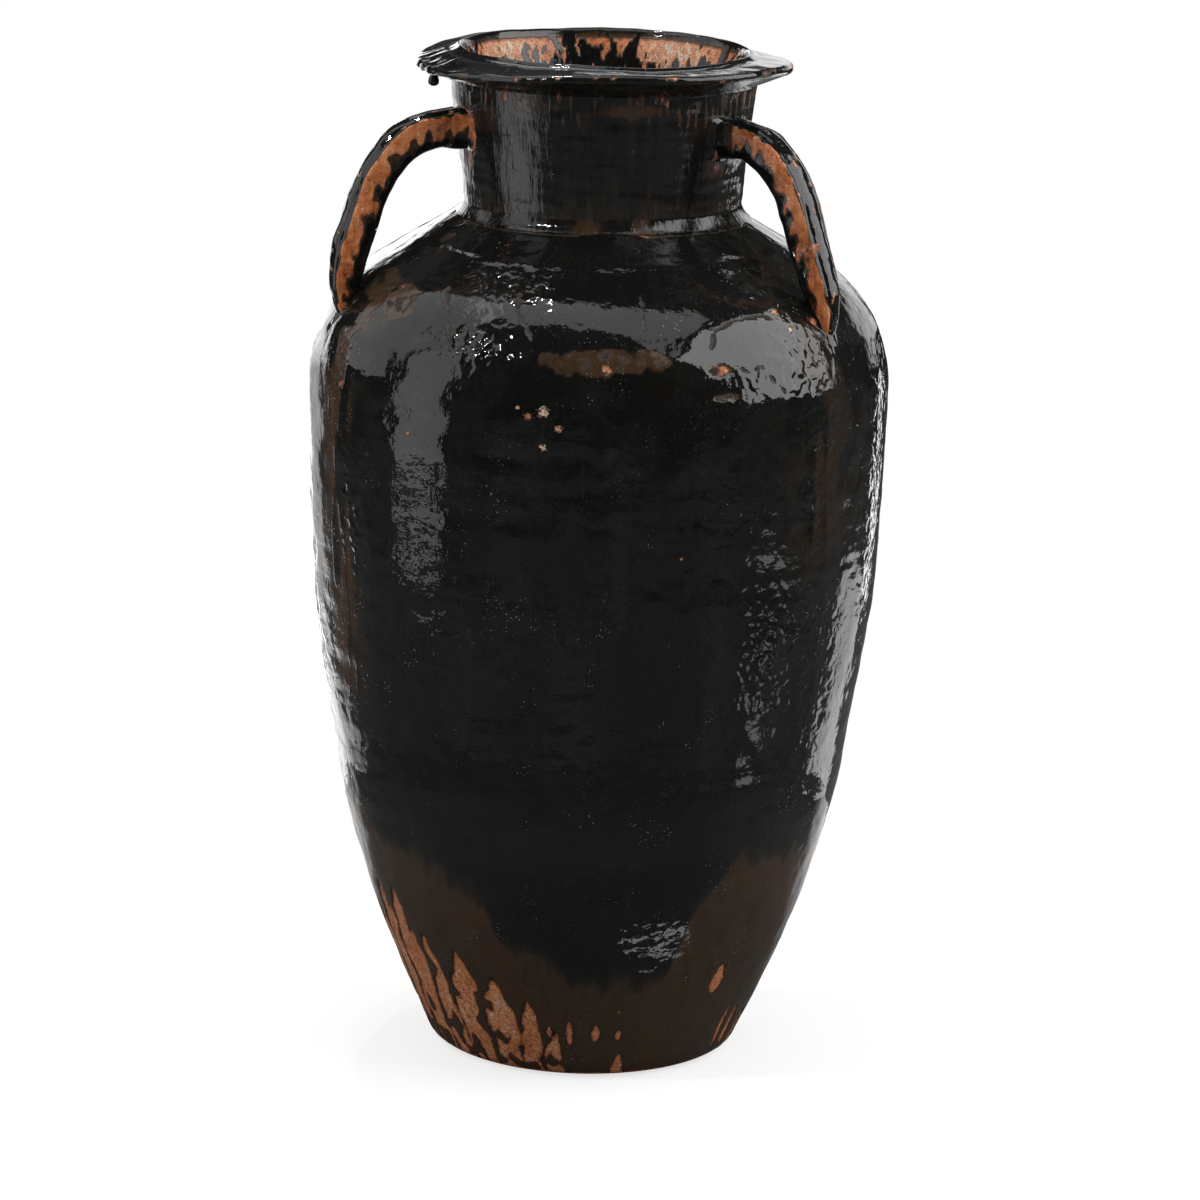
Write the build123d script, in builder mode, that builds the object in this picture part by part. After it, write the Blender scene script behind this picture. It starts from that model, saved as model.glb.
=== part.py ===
from build123d import *
import os
from math import cos, radians, sin, tan

# Martaban jar: a glazed stoneware storage jar with three strap handles.
# Millimetres and degrees. The origin is the centre of the foot, on the ground, and +Z is up.
# The jar is raised in courses that are stacked and luted together, so every piece below is
# one piece of clay, and each one ends where the next begins.

# Body outline, from the ground up
ground_radius = 113  # where the curve of the wall would meet the ground
heel_round = 17  # the foot's edge is rounded off by this radius
flank_height = 262  # where the lower curve of the wall meets the upper one
flank_draw_in = 18  # how far the wall has drawn in there from the girth
girth_height = 490  # the widest place
girth_radius = 217
girth_band = 25  # upright stretch above the widest place
shoulder_round = 100  # radius of the shoulder's curve
shoulder_slope = 31  # degrees above level, from the curve up to the neck

# Courses of the wall
wall = 12
base_thickness = 14
lower_wall_top = 205
middle_wall_top = 395
shoulder_seam_rise = 45  # the shoulder starts this far above the upright stretch

# Neck and rim
neck_foot_radius = 103
neck_flare = 10  # the neck is wider at the top by this much, in radius
neck_height = 98
neck_wall = 8  # at its foot; inside it is a straight bore, which a bung closes
throat_flare_drop = 26  # the bore starts to open out this far below the top of the neck
rim_rise = 22  # from the top of the neck to the crest of the lip
lip_overhang = 26  # beyond the top of the neck
lip_thickness = 7  # the rolled outer edge
lip_fall = 4  # the flat top falls outwards by this much
crest_inset = 5.5  # middle of the crest, in from the outside of the neck's top
crest_width = 5
crest_round = 3

# Coil of clay that lutes the neck to the shoulder
foot_band_height = 9
foot_band_reach = 15
foot_band_bulge = 3

# Handles: pulled straps, evenly spaced round the neck
back_handle_angle = 90  # seen from above, from +X round towards +Y
front_handle_angle = 117  # from the back handle round to each of the front ones
root_rise = 63  # middle of the strap's root above the foot of the neck
elbow_reach_share = 0.62  # of the way out from the top of the neck to the ankle
ankle_angle = 39  # seen from the centre of the shoulder's curve
ankle_stand = 9  # the strap's middle line still stands this far off the shoulder
toe_angle = 30
toe_sink = 6  # the strap's end is thumbed into the shoulder by this much
strap_root_width = 31
strap_root_thickness = 26
strap_tip_width = 24
strap_tip_thickness = 16
strap_corner = 5
toe_width = 6  # the strap is pinched to this width at its tip
pinch_height = 38  # the pinching starts this far above the tip
bend_share = 0.72  # of the shorter run beside a corner of the route, taken by its curve

# Wads of clay that fix each strap
upper_pad_proud = 5
upper_pad_side = 11  # margin beside the strap's root
upper_pad_edge = 4  # margin above and below it
upper_pad_corner = 8
lower_pad_proud = 4
lower_pad_side = 6
lower_pad_head = 9  # the pad starts this far above the ankle
lower_pad_tail = 12  # and runs this far below the strap's tip
lower_pad_corner = 5

# Bead of run glaze under the lip
drip_angle = 209
drip_inset = 5  # its middle line, in from the edge of the lip
drip_length = 11
drip_radius = 4
drip_stem_share = 0.6  # the stem's radius against the bead's

# Worked out from the sizes above
flank_radius = girth_radius - flank_draw_in
turn_height = girth_height + girth_band
turn_radius = girth_radius - shoulder_round
shoulder_seam = turn_height + shoulder_seam_rise
slope_radius = turn_radius + shoulder_round * sin(radians(shoulder_slope))
slope_height = turn_height + shoulder_round * cos(radians(shoulder_slope))
slope_rise = tan(radians(shoulder_slope))
neck_foot = slope_height + (slope_radius - neck_foot_radius) * slope_rise
neck_top = neck_foot + neck_height
neck_top_radius = neck_foot_radius + neck_flare
throat_radius = neck_foot_radius - neck_wall
lip_radius = neck_top_radius + lip_overhang
crest_radius = neck_top_radius - crest_inset
throat_flare = neck_top - throat_flare_drop
crest_height = neck_top + rim_rise
neck_taper = neck_flare / neck_height
root_height = neck_foot + root_rise
reach = girth_radius + lip_radius  # beyond every surface of the jar
handle_angles = {
    "handle_right": back_handle_angle - front_handle_angle,
    "handle_back": back_handle_angle,
    "handle_left": back_handle_angle + front_handle_angle,
}

os.makedirs("parts", exist_ok=True)


def save(piece, name):
    """Name one finished piece and write it."""
    piece.part.label = name
    export_step(piece.part, f"parts/{name}.step")


def slope_at(radius):
    """Height of the shoulder's straight slope at a radius."""
    return slope_height + (slope_radius - radius) * slope_rise


def neck_at(height):
    """Outer radius of the neck at a height."""
    return neck_foot_radius + (height - neck_foot) * neck_taper


def around_shoulder(angle, stand):
    """Radius and height of a point off the shoulder, seen from the centre of its curve."""
    distance = shoulder_round + stand
    return (
        turn_radius + distance * cos(radians(angle)),
        turn_height + distance * sin(radians(angle)),
    )


def draw_body_outline(slope_end):
    """Outer line of the body, from the ground up the wall and along the slope of the shoulder."""
    upper = TangentArc((girth_radius, girth_height), (flank_radius, flank_height), tangent=(0, -1))
    TangentArc(upper @ 1, (ground_radius, 0), tangent=upper % 1)
    Line((girth_radius, girth_height), (girth_radius, turn_height))
    dome = CenterArc((turn_radius, turn_height), shoulder_round, 0, 90 - shoulder_slope)
    return Line(dome @ 1, (slope_end, slope_at(slope_end)))


# The wall's section, inside and out, which every course is cut from
with BuildSketch(Plane.XZ) as wall_section:
    with BuildLine():
        draw_body_outline(throat_radius - wall)
        offset(amount=wall, side=Side.RIGHT)
    make_face()

# The jar with its inside filled, for cutting pieces that lie on it
with BuildSketch(Plane.XZ) as filled_section:
    with BuildLine():
        top_of_slope = draw_body_outline(neck_foot_radius)
        collar = Line(top_of_slope @ 1, (neck_top_radius, neck_top))
        Polyline(collar @ 1, (0, neck_top), (0, 0), (ground_radius, 0))
    make_face()


def filled_jar(proud=0):
    """The filled jar, or one that stands proud of it by an even amount all over."""
    with BuildPart() as jar:
        with BuildSketch(Plane.XZ):
            add(filled_section.sketch_local)
            if proud:
                offset(amount=proud)
            with Locations((0, -proud)):
                Rectangle(reach, crest_height, align=(Align.MIN, Align.MIN), mode=Mode.INTERSECT)
        revolve(axis=Axis.Z)
    return jar


def course(bottom, top, inner_radius=0):
    """One course of the wall, between two level seams."""
    with BuildPart() as ring:
        with BuildSketch(Plane.XZ):
            add(wall_section.sketch_local)
            with Locations((inner_radius, bottom)):
                Rectangle(reach, top - bottom, align=(Align.MIN, Align.MIN), mode=Mode.INTERSECT)
        revolve(axis=Axis.Z)
    return ring


# Base disc: a beaten slab, its lower edge rounded off
with BuildPart() as base_disc:
    with BuildSketch(Plane.XZ):
        add(filled_section.sketch_local)
        Rectangle(reach, base_thickness, align=(Align.MIN, Align.MIN), mode=Mode.INTERSECT)
    revolve(axis=Axis.Z)
    fillet(base_disc.edges().sort_by(Axis.Z)[0], radius=heel_round)
save(base_disc, "base_disc")

# The three wall courses, and the shoulder with its hole for the neck
save(course(base_thickness, lower_wall_top), "lower_wall")
save(course(lower_wall_top, middle_wall_top), "middle_wall")
save(course(middle_wall_top, shoulder_seam), "upper_wall")
save(course(shoulder_seam, neck_foot, throat_radius), "shoulder")

# Neck and rim are one section: straight bore, flaring throat, rounded crest and rolled lip
with BuildSketch(Plane.XZ) as collar_section:
    with BuildLine():
        bore = Line((throat_radius, neck_foot), (throat_radius, throat_flare))
        crest_inside = (crest_radius - crest_width / 2, crest_height - crest_round)
        crest_outside = (crest_radius + crest_width / 2, crest_height - crest_round / 2)
        flare = TangentArc(bore @ 1, crest_inside, tangent=(0, 1))
        crest = ThreePointArc(flare @ 1, (crest_radius, crest_height), crest_outside)
        lip_core = lip_radius - lip_thickness / 2
        lip_top = crest_height - lip_fall
        table = Line(crest @ 1, (lip_core, lip_top))
        roll = ThreePointArc(
            table @ 1,
            (lip_radius, lip_top - lip_thickness / 2),
            (lip_core, lip_top - lip_thickness),
        )
        underside = Line(roll @ 1, (neck_top_radius, neck_top))
        Polyline(underside @ 1, (neck_foot_radius, neck_foot), (throat_radius, neck_foot))
    make_face()


def collar_piece(bottom, top):
    """The neck or the rim, between two level planes."""
    with BuildPart() as ring:
        with BuildSketch(Plane.XZ):
            add(collar_section.sketch_local)
            with Locations((0, bottom)):
                Rectangle(reach, top - bottom, align=(Align.MIN, Align.MIN), mode=Mode.INTERSECT)
        revolve(axis=Axis.Z)
    return ring


rim = collar_piece(neck_top, crest_height)
save(collar_piece(neck_foot, neck_top), "neck")
save(rim, "rim")

# Coil in the corner between the neck and the shoulder, thumbed down to a soft bulge
with BuildPart() as neck_foot_band:
    with BuildSketch(Plane.XZ):
        with BuildLine():
            band_top = neck_foot + foot_band_height
            band_edge = neck_foot_radius + foot_band_reach
            corner = (neck_foot_radius, neck_foot)
            bulge = SagittaArc(
                (neck_at(band_top), band_top), (band_edge, slope_at(band_edge)), foot_band_bulge
            )
            Polyline(bulge @ 1, corner, bulge @ 0)
        make_face()
    revolve(axis=Axis.Z)
save(neck_foot_band, "neck_foot_band")

# The jar as the handles meet it, and as each kind of pad stands proud of it
jar = filled_jar()
upper_pad_jar = filled_jar(upper_pad_proud)
lower_pad_jar = filled_jar(lower_pad_proud)


def upright_plane(angle):
    """Plane through the jar's axis: X runs outwards along the angle, Y runs up."""
    outwards = Vector(1, 0, 0).rotate(Axis.Z, angle)
    return Plane(origin=(0, 0, 0), x_dir=outwards, z_dir=outwards.rotate(Axis.Z, -90))


def facing_plane(angle):
    """Plane across the angle: X runs sideways round the jar, Y runs up."""
    outwards = Vector(1, 0, 0).rotate(Axis.Z, angle)
    return Plane(origin=(0, 0, 0), x_dir=outwards.rotate(Axis.Z, 90), z_dir=outwards)


def bend_radius(before, corner, after):
    """Radius of the curve that takes its share of the shorter run beside a corner."""
    run_in = Vector(corner) - Vector(before)
    run_out = Vector(after) - Vector(corner)
    half_turn = radians(run_in.get_angle(run_out)) / 2
    return bend_share * min(run_in.length, run_out.length) / tan(half_turn)


def strap(angle):
    """One handle: a strap that thins from root to tip, cut where it meets neck and shoulder."""
    ankle = around_shoulder(ankle_angle, ankle_stand)
    toe = around_shoulder(toe_angle, -toe_sink)
    elbow_radius = neck_top_radius + (ankle[0] - neck_top_radius) * elbow_reach_share
    root = (throat_radius, root_height)
    elbow = (elbow_radius, root_height)
    bends = (bend_radius(root, elbow, ankle), bend_radius(elbow, ankle, toe))
    pinch_top = toe[1] + pinch_height
    with BuildPart() as handle:
        with BuildLine(upright_plane(angle)):
            route = FilletPolyline(root, elbow, ankle, toe, radius=bends)
        sideways = facing_plane(angle).x_dir
        with BuildSketch(Plane(origin=route @ 0, x_dir=sideways, z_dir=route % 0)):
            RectangleRounded(strap_root_width, strap_root_thickness, strap_corner)
        with BuildSketch(Plane(origin=route @ 1, x_dir=sideways, z_dir=route % 1)):
            RectangleRounded(strap_tip_width, strap_tip_thickness, strap_corner)
        sweep(path=route, multisection=True)
        with BuildSketch(facing_plane(angle)):
            with BuildLine():
                Polyline(
                    (0, neck_top),
                    (strap_root_width / 2, neck_top),
                    (strap_root_width / 2, pinch_top),
                    (toe_width / 2, toe[1]),
                    (0, toe[1]),
                )
                mirror(about=Plane.YZ)
            make_face()
        extrude(amount=reach, mode=Mode.INTERSECT)
        add(jar.part, mode=Mode.SUBTRACT)
    return handle


def upper_pad(angle, handle):
    """Squarish wad pressed round the strap's root, on the neck."""
    with BuildPart() as pad:
        with BuildSketch(facing_plane(angle)):
            with Locations((0, root_height)):
                RectangleRounded(
                    strap_root_width + 2 * upper_pad_side,
                    strap_root_thickness + 2 * upper_pad_edge,
                    upper_pad_corner,
                )
        extrude(amount=reach)
        add(upper_pad_jar.part, mode=Mode.INTERSECT)
        add(jar.part, mode=Mode.SUBTRACT)
        add(handle.part, mode=Mode.SUBTRACT)
    return pad


def lower_pad(angle, handle):
    """Smeared wad round the strap's tip, drawn down to a point on the shoulder."""
    ankle_height = around_shoulder(ankle_angle, ankle_stand)[1]
    toe_height = around_shoulder(toe_angle, -toe_sink)[1]
    with BuildPart() as pad:
        with BuildSketch(facing_plane(angle)) as outline:
            with BuildLine():
                Polyline(
                    (0, ankle_height + lower_pad_head),
                    (strap_tip_width / 2, ankle_height + lower_pad_head),
                    (strap_tip_width / 2 + lower_pad_side, ankle_height),
                    (toe_width / 2, toe_height - lower_pad_tail),
                    (0, toe_height - lower_pad_tail),
                )
                mirror(about=Plane.YZ)
            make_face()
            corners = outline.vertices().filter_by(lambda corner: corner.X != 0)
            fillet(corners.group_by(Axis.Y)[0], radius=toe_width / 3)
            corners = outline.vertices().filter_by(lambda corner: corner.X != 0)
            fillet(corners.group_by(Axis.Y)[-2:], radius=lower_pad_corner)
        extrude(amount=reach)
        add(lower_pad_jar.part, mode=Mode.INTERSECT)
        add(jar.part, mode=Mode.SUBTRACT)
        add(handle.part, mode=Mode.SUBTRACT)
    return pad


for name, angle in handle_angles.items():
    handle = strap(angle)
    save(handle, name)
    save(upper_pad(angle, handle), f"{name}_upper_pad")
    save(lower_pad(angle, handle), f"{name}_lower_pad")

# Glaze bead: it swells below a thinner stem and hangs from the underside of the lip
drip_outwards = Vector(1, 0, 0).rotate(Axis.Z, drip_angle)
drip_top = (lip_radius - drip_inset) * drip_outwards + Vector(0, 0, lip_top - lip_thickness / 2)
with BuildPart() as rim_glaze_drip:
    with BuildSketch(Plane(drip_top, drip_outwards, drip_outwards.rotate(Axis.Z, -90))):
        with BuildLine():
            drip_stem = drip_radius * drip_stem_share
            drip_bottom = -lip_thickness / 2 - drip_length
            stem = Line((0, 0), (drip_stem, 0))
            bead = Spline(
                stem @ 1,
                (drip_radius, drip_bottom + drip_radius),
                (0, drip_bottom),
                tangents=((0, -1), (-1, 0)),
            )
            Line(bead @ 1, stem @ 0)
        make_face()
    revolve(axis=Axis(drip_top, (0, 0, 1)))
    add(rim.part, mode=Mode.SUBTRACT)
save(rim_glaze_drip, "rim_glaze_drip")
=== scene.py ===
from math import atan2, cos, hypot, pi, radians, sin

import bpy
import numpy as np
from mathutils import Matrix, Vector


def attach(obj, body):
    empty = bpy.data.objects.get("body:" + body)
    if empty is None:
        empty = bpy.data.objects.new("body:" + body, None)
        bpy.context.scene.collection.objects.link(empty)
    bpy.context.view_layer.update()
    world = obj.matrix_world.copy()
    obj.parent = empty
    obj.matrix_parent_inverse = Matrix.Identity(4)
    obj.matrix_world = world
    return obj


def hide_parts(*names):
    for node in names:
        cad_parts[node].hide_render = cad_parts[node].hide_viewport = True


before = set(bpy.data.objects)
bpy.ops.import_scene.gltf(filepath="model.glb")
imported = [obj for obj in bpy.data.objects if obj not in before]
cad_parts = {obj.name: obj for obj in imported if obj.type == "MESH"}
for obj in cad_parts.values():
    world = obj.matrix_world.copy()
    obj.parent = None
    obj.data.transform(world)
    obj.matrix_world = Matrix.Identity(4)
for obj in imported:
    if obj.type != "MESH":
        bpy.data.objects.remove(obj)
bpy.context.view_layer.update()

# Camera: level with the top of the jar and a little above it, looking down at its front,
# seven degrees to the right of the middle between the two front handles.
camera_side = 7
camera_distance = 3.6412
camera_height = 1.1896
camera_drop = 13.12
camera_roll = 1.333
camera_lens = 148.31
camera_shift = 0.0065

camera = bpy.data.objects.new("camera", bpy.data.cameras.new("camera"))
camera.data.lens = camera_lens
camera.data.sensor_width = 36
camera.data.shift_x = camera_shift
camera.matrix_world = (
    Matrix.Rotation(radians(camera_side), 4, "Z")
    @ Matrix.Translation((0, -camera_distance, camera_height))
    @ Matrix.Rotation(radians(90 - camera_drop), 4, "X")
    @ Matrix.Rotation(radians(camera_roll), 4, "Z")
)
bpy.context.collection.objects.link(camera)
bpy.context.scene.camera = camera
bpy.context.scene.view_settings.view_transform = "Standard"


# Studio: a pale floor under the jar, a white sweep that starts beside it and runs behind it,
# and the dark side of the room in front, with the soft lamps and cards that the glaze mirrors.
floor_radius = 0.62
floor_sides = 128
floor_shades = (0.34, 0.80)  # dim in front, pale towards the sweep
floor_fills = (0.70, 0.34)  # the sweep's glow that the camera sees on top of the lit floor
floor_fade = (0.24, 0.60)  # between these distances its front turns darker still
floor_fade_depth = 0.26
floor_mirror = (0.58, 0.26)  # within these the glaze mirrors it dimmer, in the jar's shade
floor_mirror_depth = 0.70
floor_end = (0.15, 0.38)  # between these it runs into the white background
floor_edge = (-0.08, 0.06)  # how much softer the sweep's edge is on it
sweep_angle = 94  # middle of the sweep, seen from the jar
sweep_spread = 0.559  # cosine of half its width
sweep_top = -0.37  # its far edge, as a slope down from the jar
sweep_blur = 0.03
room_dark = 0.012
room_clutter = 0.06
clutter_edge = (0.46, 0.62)
room_low = 0.13  # the dim floor of the room
room_low_edge = (-0.10, -0.36)  # slopes where it starts and is full
room_ambient = 0.40

# The sweep's left end, which is turned up: angle round the jar, cosines where it starts and is
# full, and slopes where its top edge starts and is full
left_end = (119, (0.958, 0.968), (0.24, 0.16))
left_end_glow = (2.4, 1.0, 2.6)  # at its foot, in its middle and at its top
left_end_foot = (-0.26, -0.31)  # slopes where its foot starts and is full
left_end_top = (-0.15, -0.03)

# White cards that only the glaze mirrors: angle, cosines as above, slopes where the top edge
# starts and is full and the same for the bottom edge, and brightness
white_cards = {
    "right_end": (78, (0.92, 0.96), (0.27, 0.20), (-0.06, -0.02), 1.2),
    "right_panel": (52, (0.980, 0.985), (-0.25, -0.28), (-0.47, -0.43), 1.8),
    "left_panel": (136, (0.990, 0.993), (-0.30, -0.33), (-0.47, -0.43), 1.8),
    "front_glint": (-6, (0.9925, 0.9950), (-0.33, -0.35), (-0.47, -0.44), 1.7),
}


def socket(sockets, key):
    """A node's socket by its number, or the one in use by its name."""
    if isinstance(key, int):
        return sockets[key]
    return next(one for one in sockets if one.name == key and one.enabled)


def empty_tree(owner):
    """The cleared node tree of a world or a material."""
    owner.use_nodes = True
    owner.node_tree.nodes.clear()
    return owner.node_tree


def put(tree, kind, sockets=(), **settings):
    """Add one shader node, with its settings, and its sockets set or linked."""
    made = tree.nodes.new("ShaderNode" + kind)
    for key, value in settings.items():
        setattr(made, key, value)
    for key, value in dict(sockets).items():
        if isinstance(value, bpy.types.NodeSocket):
            tree.links.new(value, socket(made.inputs, key))
        else:
            socket(made.inputs, key).default_value = value
    return made


def sums(tree, operation, first, second=0.0, third=0.0):
    """One sum on numbers or sockets."""
    return put(tree, "Math", {0: first, 1: second, 2: third}, operation=operation).outputs[0]


def times(tree, first, second):
    """Two numbers or sockets multiplied."""
    return sums(tree, "MULTIPLY", first, second)


def plus(tree, value, scale, base):
    """A base with a value times a scale added to it."""
    return sums(tree, "MULTIPLY_ADD", value, scale, base)


def vector_sum(tree, operation, first, second=(0, 0, 0), output="Vector"):
    """One sum on places or directions."""
    return put(tree, "VectorMath", {0: first, 1: second}, operation=operation).outputs[output]


def blend(tree, factor, first, second):
    """Two numbers mixed by a factor."""
    return put(tree, "Mix", {"Factor": factor, "A": first, "B": second}).outputs[0]


def eased(tree, value, low, high):
    """A value turned into a smooth step from 0 at low to 1 at high."""
    steps = {"Value": value, "From Min": low, "From Max": high}
    return put(tree, "MapRange", steps, interpolation_type="SMOOTHSTEP").outputs["Result"]


def at(angle, out, up):
    """Place at an angle round the jar, a distance out and a height."""
    return Vector((out * cos(radians(angle)), out * sin(radians(angle)), up))


def towards(tree, way, angle, low, high):
    """A smooth step by how nearly a direction points to an angle round the jar."""
    facing = vector_sum(tree, "DOT_PRODUCT", way, at(angle, 1, 0), "Value")
    return eased(tree, facing, low, high)


world = bpy.data.worlds.new("studio")
bpy.context.scene.world = world
tree = empty_tree(world)
way = put(tree, "TexCoord").outputs["Generated"]
parts = put(tree, "SeparateXYZ", {0: way}).outputs
level_way = put(tree, "CombineXYZ", {"X": parts["X"], "Y": parts["Y"]}).outputs[0]
level_way = vector_sum(tree, "NORMALIZE", level_way)
slope = parts["Z"]  # how far it points up
edges = (sweep_spread - sweep_blur, sweep_spread + sweep_blur)
sweep = towards(tree, level_way, sweep_angle, *edges)
edges = (sweep_top + sweep_blur, sweep_top - sweep_blur)
sweep = times(tree, sweep, eased(tree, slope, *edges))
angle, width, top = left_end
foot_glow, middle_glow, top_glow = left_end_glow
card = times(tree, towards(tree, level_way, angle, *width), eased(tree, slope, *top))
bright = blend(tree, eased(tree, slope, *left_end_foot), middle_glow, foot_glow)
bright = blend(tree, eased(tree, slope, *left_end_top), bright, top_glow)
sweep = sums(tree, "MAXIMUM", sweep, times(tree, card, bright))
for angle, width, top, bottom, bright in white_cards.values():
    card = times(tree, towards(tree, level_way, angle, *width), eased(tree, slope, *top))
    card = times(tree, card, eased(tree, slope, *bottom))
    sweep = sums(tree, "MAXIMUM", sweep, times(tree, card, bright))
clutter = put(tree, "TexNoise", {"Vector": way, "Scale": 4.0, "Detail": 3.0}).outputs[0]
clutter = eased(tree, clutter, *clutter_edge)
dim = times(tree, eased(tree, slope, *room_low_edge), room_low)
dim = sums(tree, "ADD", dim, plus(tree, clutter, room_clutter, room_dark))
mirrored = sums(tree, "MAXIMUM", sweep, dim)
path = put(tree, "LightPath")
shiny = sums(tree, "ADD", path.outputs["Is Glossy Ray"], path.outputs["Is Transmission Ray"])
shiny = put(tree, "Clamp", {"Value": shiny}).outputs[0]
glow = blend(tree, shiny, room_ambient, mirrored)
glow = blend(tree, path.outputs["Is Camera Ray"], glow, 1.0)
room = put(tree, "Background", {"Color": (1, 1, 1, 1), "Strength": glow})
put(tree, "OutputWorld", {"Surface": room.outputs[0]})

disc = bpy.data.meshes.new("floor")
turns = np.linspace(0, 2 * pi, floor_sides, endpoint=False)
ring = [(floor_radius * cos(a), floor_radius * sin(a), 0) for a in turns]
disc.from_pydata(ring, [], [list(range(len(ring)))])
floor = bpy.data.objects.new("floor", disc)
bpy.context.collection.objects.link(floor)
pale = bpy.data.materials.new("pale_floor")
tree = empty_tree(pale)
path = put(tree, "LightPath")
spot = put(tree, "TexCoord").outputs["Object"]
flat_spot = vector_sum(tree, "NORMALIZE", spot)
edges = [sweep_spread + softer for softer in floor_edge]
behind = towards(tree, flat_spot, sweep_angle, *edges)
away = vector_sum(tree, "LENGTH", spot, output="Value")
front = eased(tree, away, *floor_fade)
front = plus(tree, front, -floor_fade_depth, floor_shades[0])
shade = blend(tree, behind, front, floor_shades[1])
close = times(tree, eased(tree, away, *floor_mirror), path.outputs["Is Glossy Ray"])
shade = times(tree, shade, plus(tree, close, -floor_mirror_depth, 1.0))
lit = put(tree, "BsdfDiffuse", {"Color": shade})
glow = plus(tree, behind, floor_fills[1] - floor_fills[0], floor_fills[0])
seen = times(tree, path.outputs["Is Camera Ray"], glow)
fill = put(tree, "Emission", {"Color": (1, 1, 1, 1), "Strength": seen})
both = put(tree, "AddShader", {0: lit.outputs[0], 1: fill.outputs[0]})
edge = times(tree, eased(tree, away, *floor_end), path.outputs["Is Camera Ray"])
white = put(tree, "Emission", {"Color": (1, 1, 1, 1), "Strength": 1.0})
cover = put(tree, "MixShader", {0: edge, 1: both.outputs[0], 2: white.outputs[0]})
put(tree, "OutputMaterial", {"Surface": cover.outputs[0]})
disc.materials.append(pale)


def hang(lamp, placing):
    """Place a lamp in the studio, where the camera doesn't see it."""
    holder = bpy.data.objects.new(lamp.name, lamp)
    holder.matrix_world = placing
    holder.visible_camera = False
    bpy.context.collection.objects.link(holder)


# name: angle round the jar, distance out, middle height, width, height, brightness, and the
# height on the jar's axis that it faces
soft_lamps = {
    "left_box": (-150, 1.18, 0.93, 0.50, 1.48, 1.35, 0.93),
    "left_shelf": (-153, 1.18, 0.117, 0.44, 0.055, 1.35, 0.117),
    "low_card": (-54, 0.245, 0.012, 0.13, 0.011, 2.6, 0.11),
    "left_window": (175, 1.15, 1.28, 0.84, 1.50, 1.0, 0.45),
    "right_window": (-6, 1.15, 1.15, 1.24, 1.24, 3.6, 0.45),
    "ceiling": (-104, 0.20, 2.05, 1.90, 0.70, 1.3, 0.45),
    "left_strip": (119, 1.30, 0.15, 0.44, 0.70, 1.3, 0.15),
    "right_strip": (57, 1.30, 0.21, 0.10, 0.40, 3.4, 0.21),
    "back_bar": (97, 1.07, 1.92, 1.30, 0.58, 1.5, 0.75),
}
for name, (angle, out, up, width, height, glow, facing) in soft_lamps.items():
    lamp = bpy.data.lights.new(name, "AREA")
    lamp.shape = "RECTANGLE"
    lamp.size = width
    lamp.size_y = height
    lamp.energy = glow * pi * width * height
    place = at(angle, out, up)
    turn = (place - Vector((0, 0, facing))).to_track_quat("Z", "Y")
    hang(lamp, Matrix.Translation(place) @ turn.to_matrix().to_4x4())

# name: angle, distance out, height, radius, watts
bare_bulbs = {
    "back_bulb": (132, 0.75, 2.30, 0.02, 22.0),
    "left_bulb": (-132, 1.45, 1.85, 0.032, 34.0),
    "top_bulb": (154, 0.44, 2.14, 0.02, 12.0),
}
for name, (angle, out, up, radius, watts) in bare_bulbs.items():
    bulb = bpy.data.lights.new(name, "POINT")
    bulb.shadow_soft_size = radius
    bulb.energy = watts
    hang(bulb, Matrix.Translation(at(angle, out, up)))


# Base disc: the beaten slab of stoneware that the jar stands on, its lower edge rounded off
# by hand. Its underside is bare clay, and the glaze of the wall runs down over its edge.
ground_radius = 0.113
heel_round = 0.017
base_thickness = 0.014
flank_height = 0.262
flank_draw_in = 0.018
girth_height = 0.490
girth_radius = 0.217
girth_band = 0.025
shoulder_round = 0.100
shoulder_slope = radians(31)
wall = 0.012
lower_wall_top = 0.205
middle_wall_top = 0.395
shoulder_seam = 0.560
neck_foot_radius = 0.103
throat_radius = 0.095

wall_columns = 720
row_step = 0.0019
heel_step = 0.0013
shoulder_step = 0.0015
underside_step = 0.006
slab_step = 0.012
hub_radius = 0.004  # flat faces end here, and a middle point closes them
fine = 0.0002  # step of a line before its rows are chosen


def arc(middle, radius, start, end):
    """Points along an arc in radius and height, from one angle to another."""
    count = max(8, int(abs(end - start) * radius / fine))
    turn = np.linspace(start, end, count)
    return np.stack([middle[0] + radius * np.cos(turn), middle[1] + radius * np.sin(turn)], 1)


def straight(start, end):
    """Points along a straight line in radius and height."""
    count = max(2, int(hypot(end[0] - start[0], end[1] - start[1]) / fine))
    return np.linspace(start, end, count)


def angle_from(middle, point):
    """Angle of a point seen from the middle of an arc."""
    return atan2(point[1] - middle[1], point[0] - middle[0])


def lengths_along(line):
    """Length along a line up to each of its points."""
    return np.r_[0, np.cumsum(np.hypot(*np.diff(line[:, :2], axis=0).T))]


def directions(line):
    """Direction of a line at each of its points."""
    way = np.gradient(line[:, :2], axis=0)
    return way / np.linalg.norm(way, axis=1, keepdims=True)


def paced(line, step):
    """Points along a line about a step apart, both ends kept."""
    lengths = lengths_along(line)
    places = np.linspace(0, lengths[-1], max(2, round(lengths[-1] / step) + 1))
    return np.stack([np.interp(places, lengths, line[:, k]) for k in (0, 1)], 1)


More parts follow.
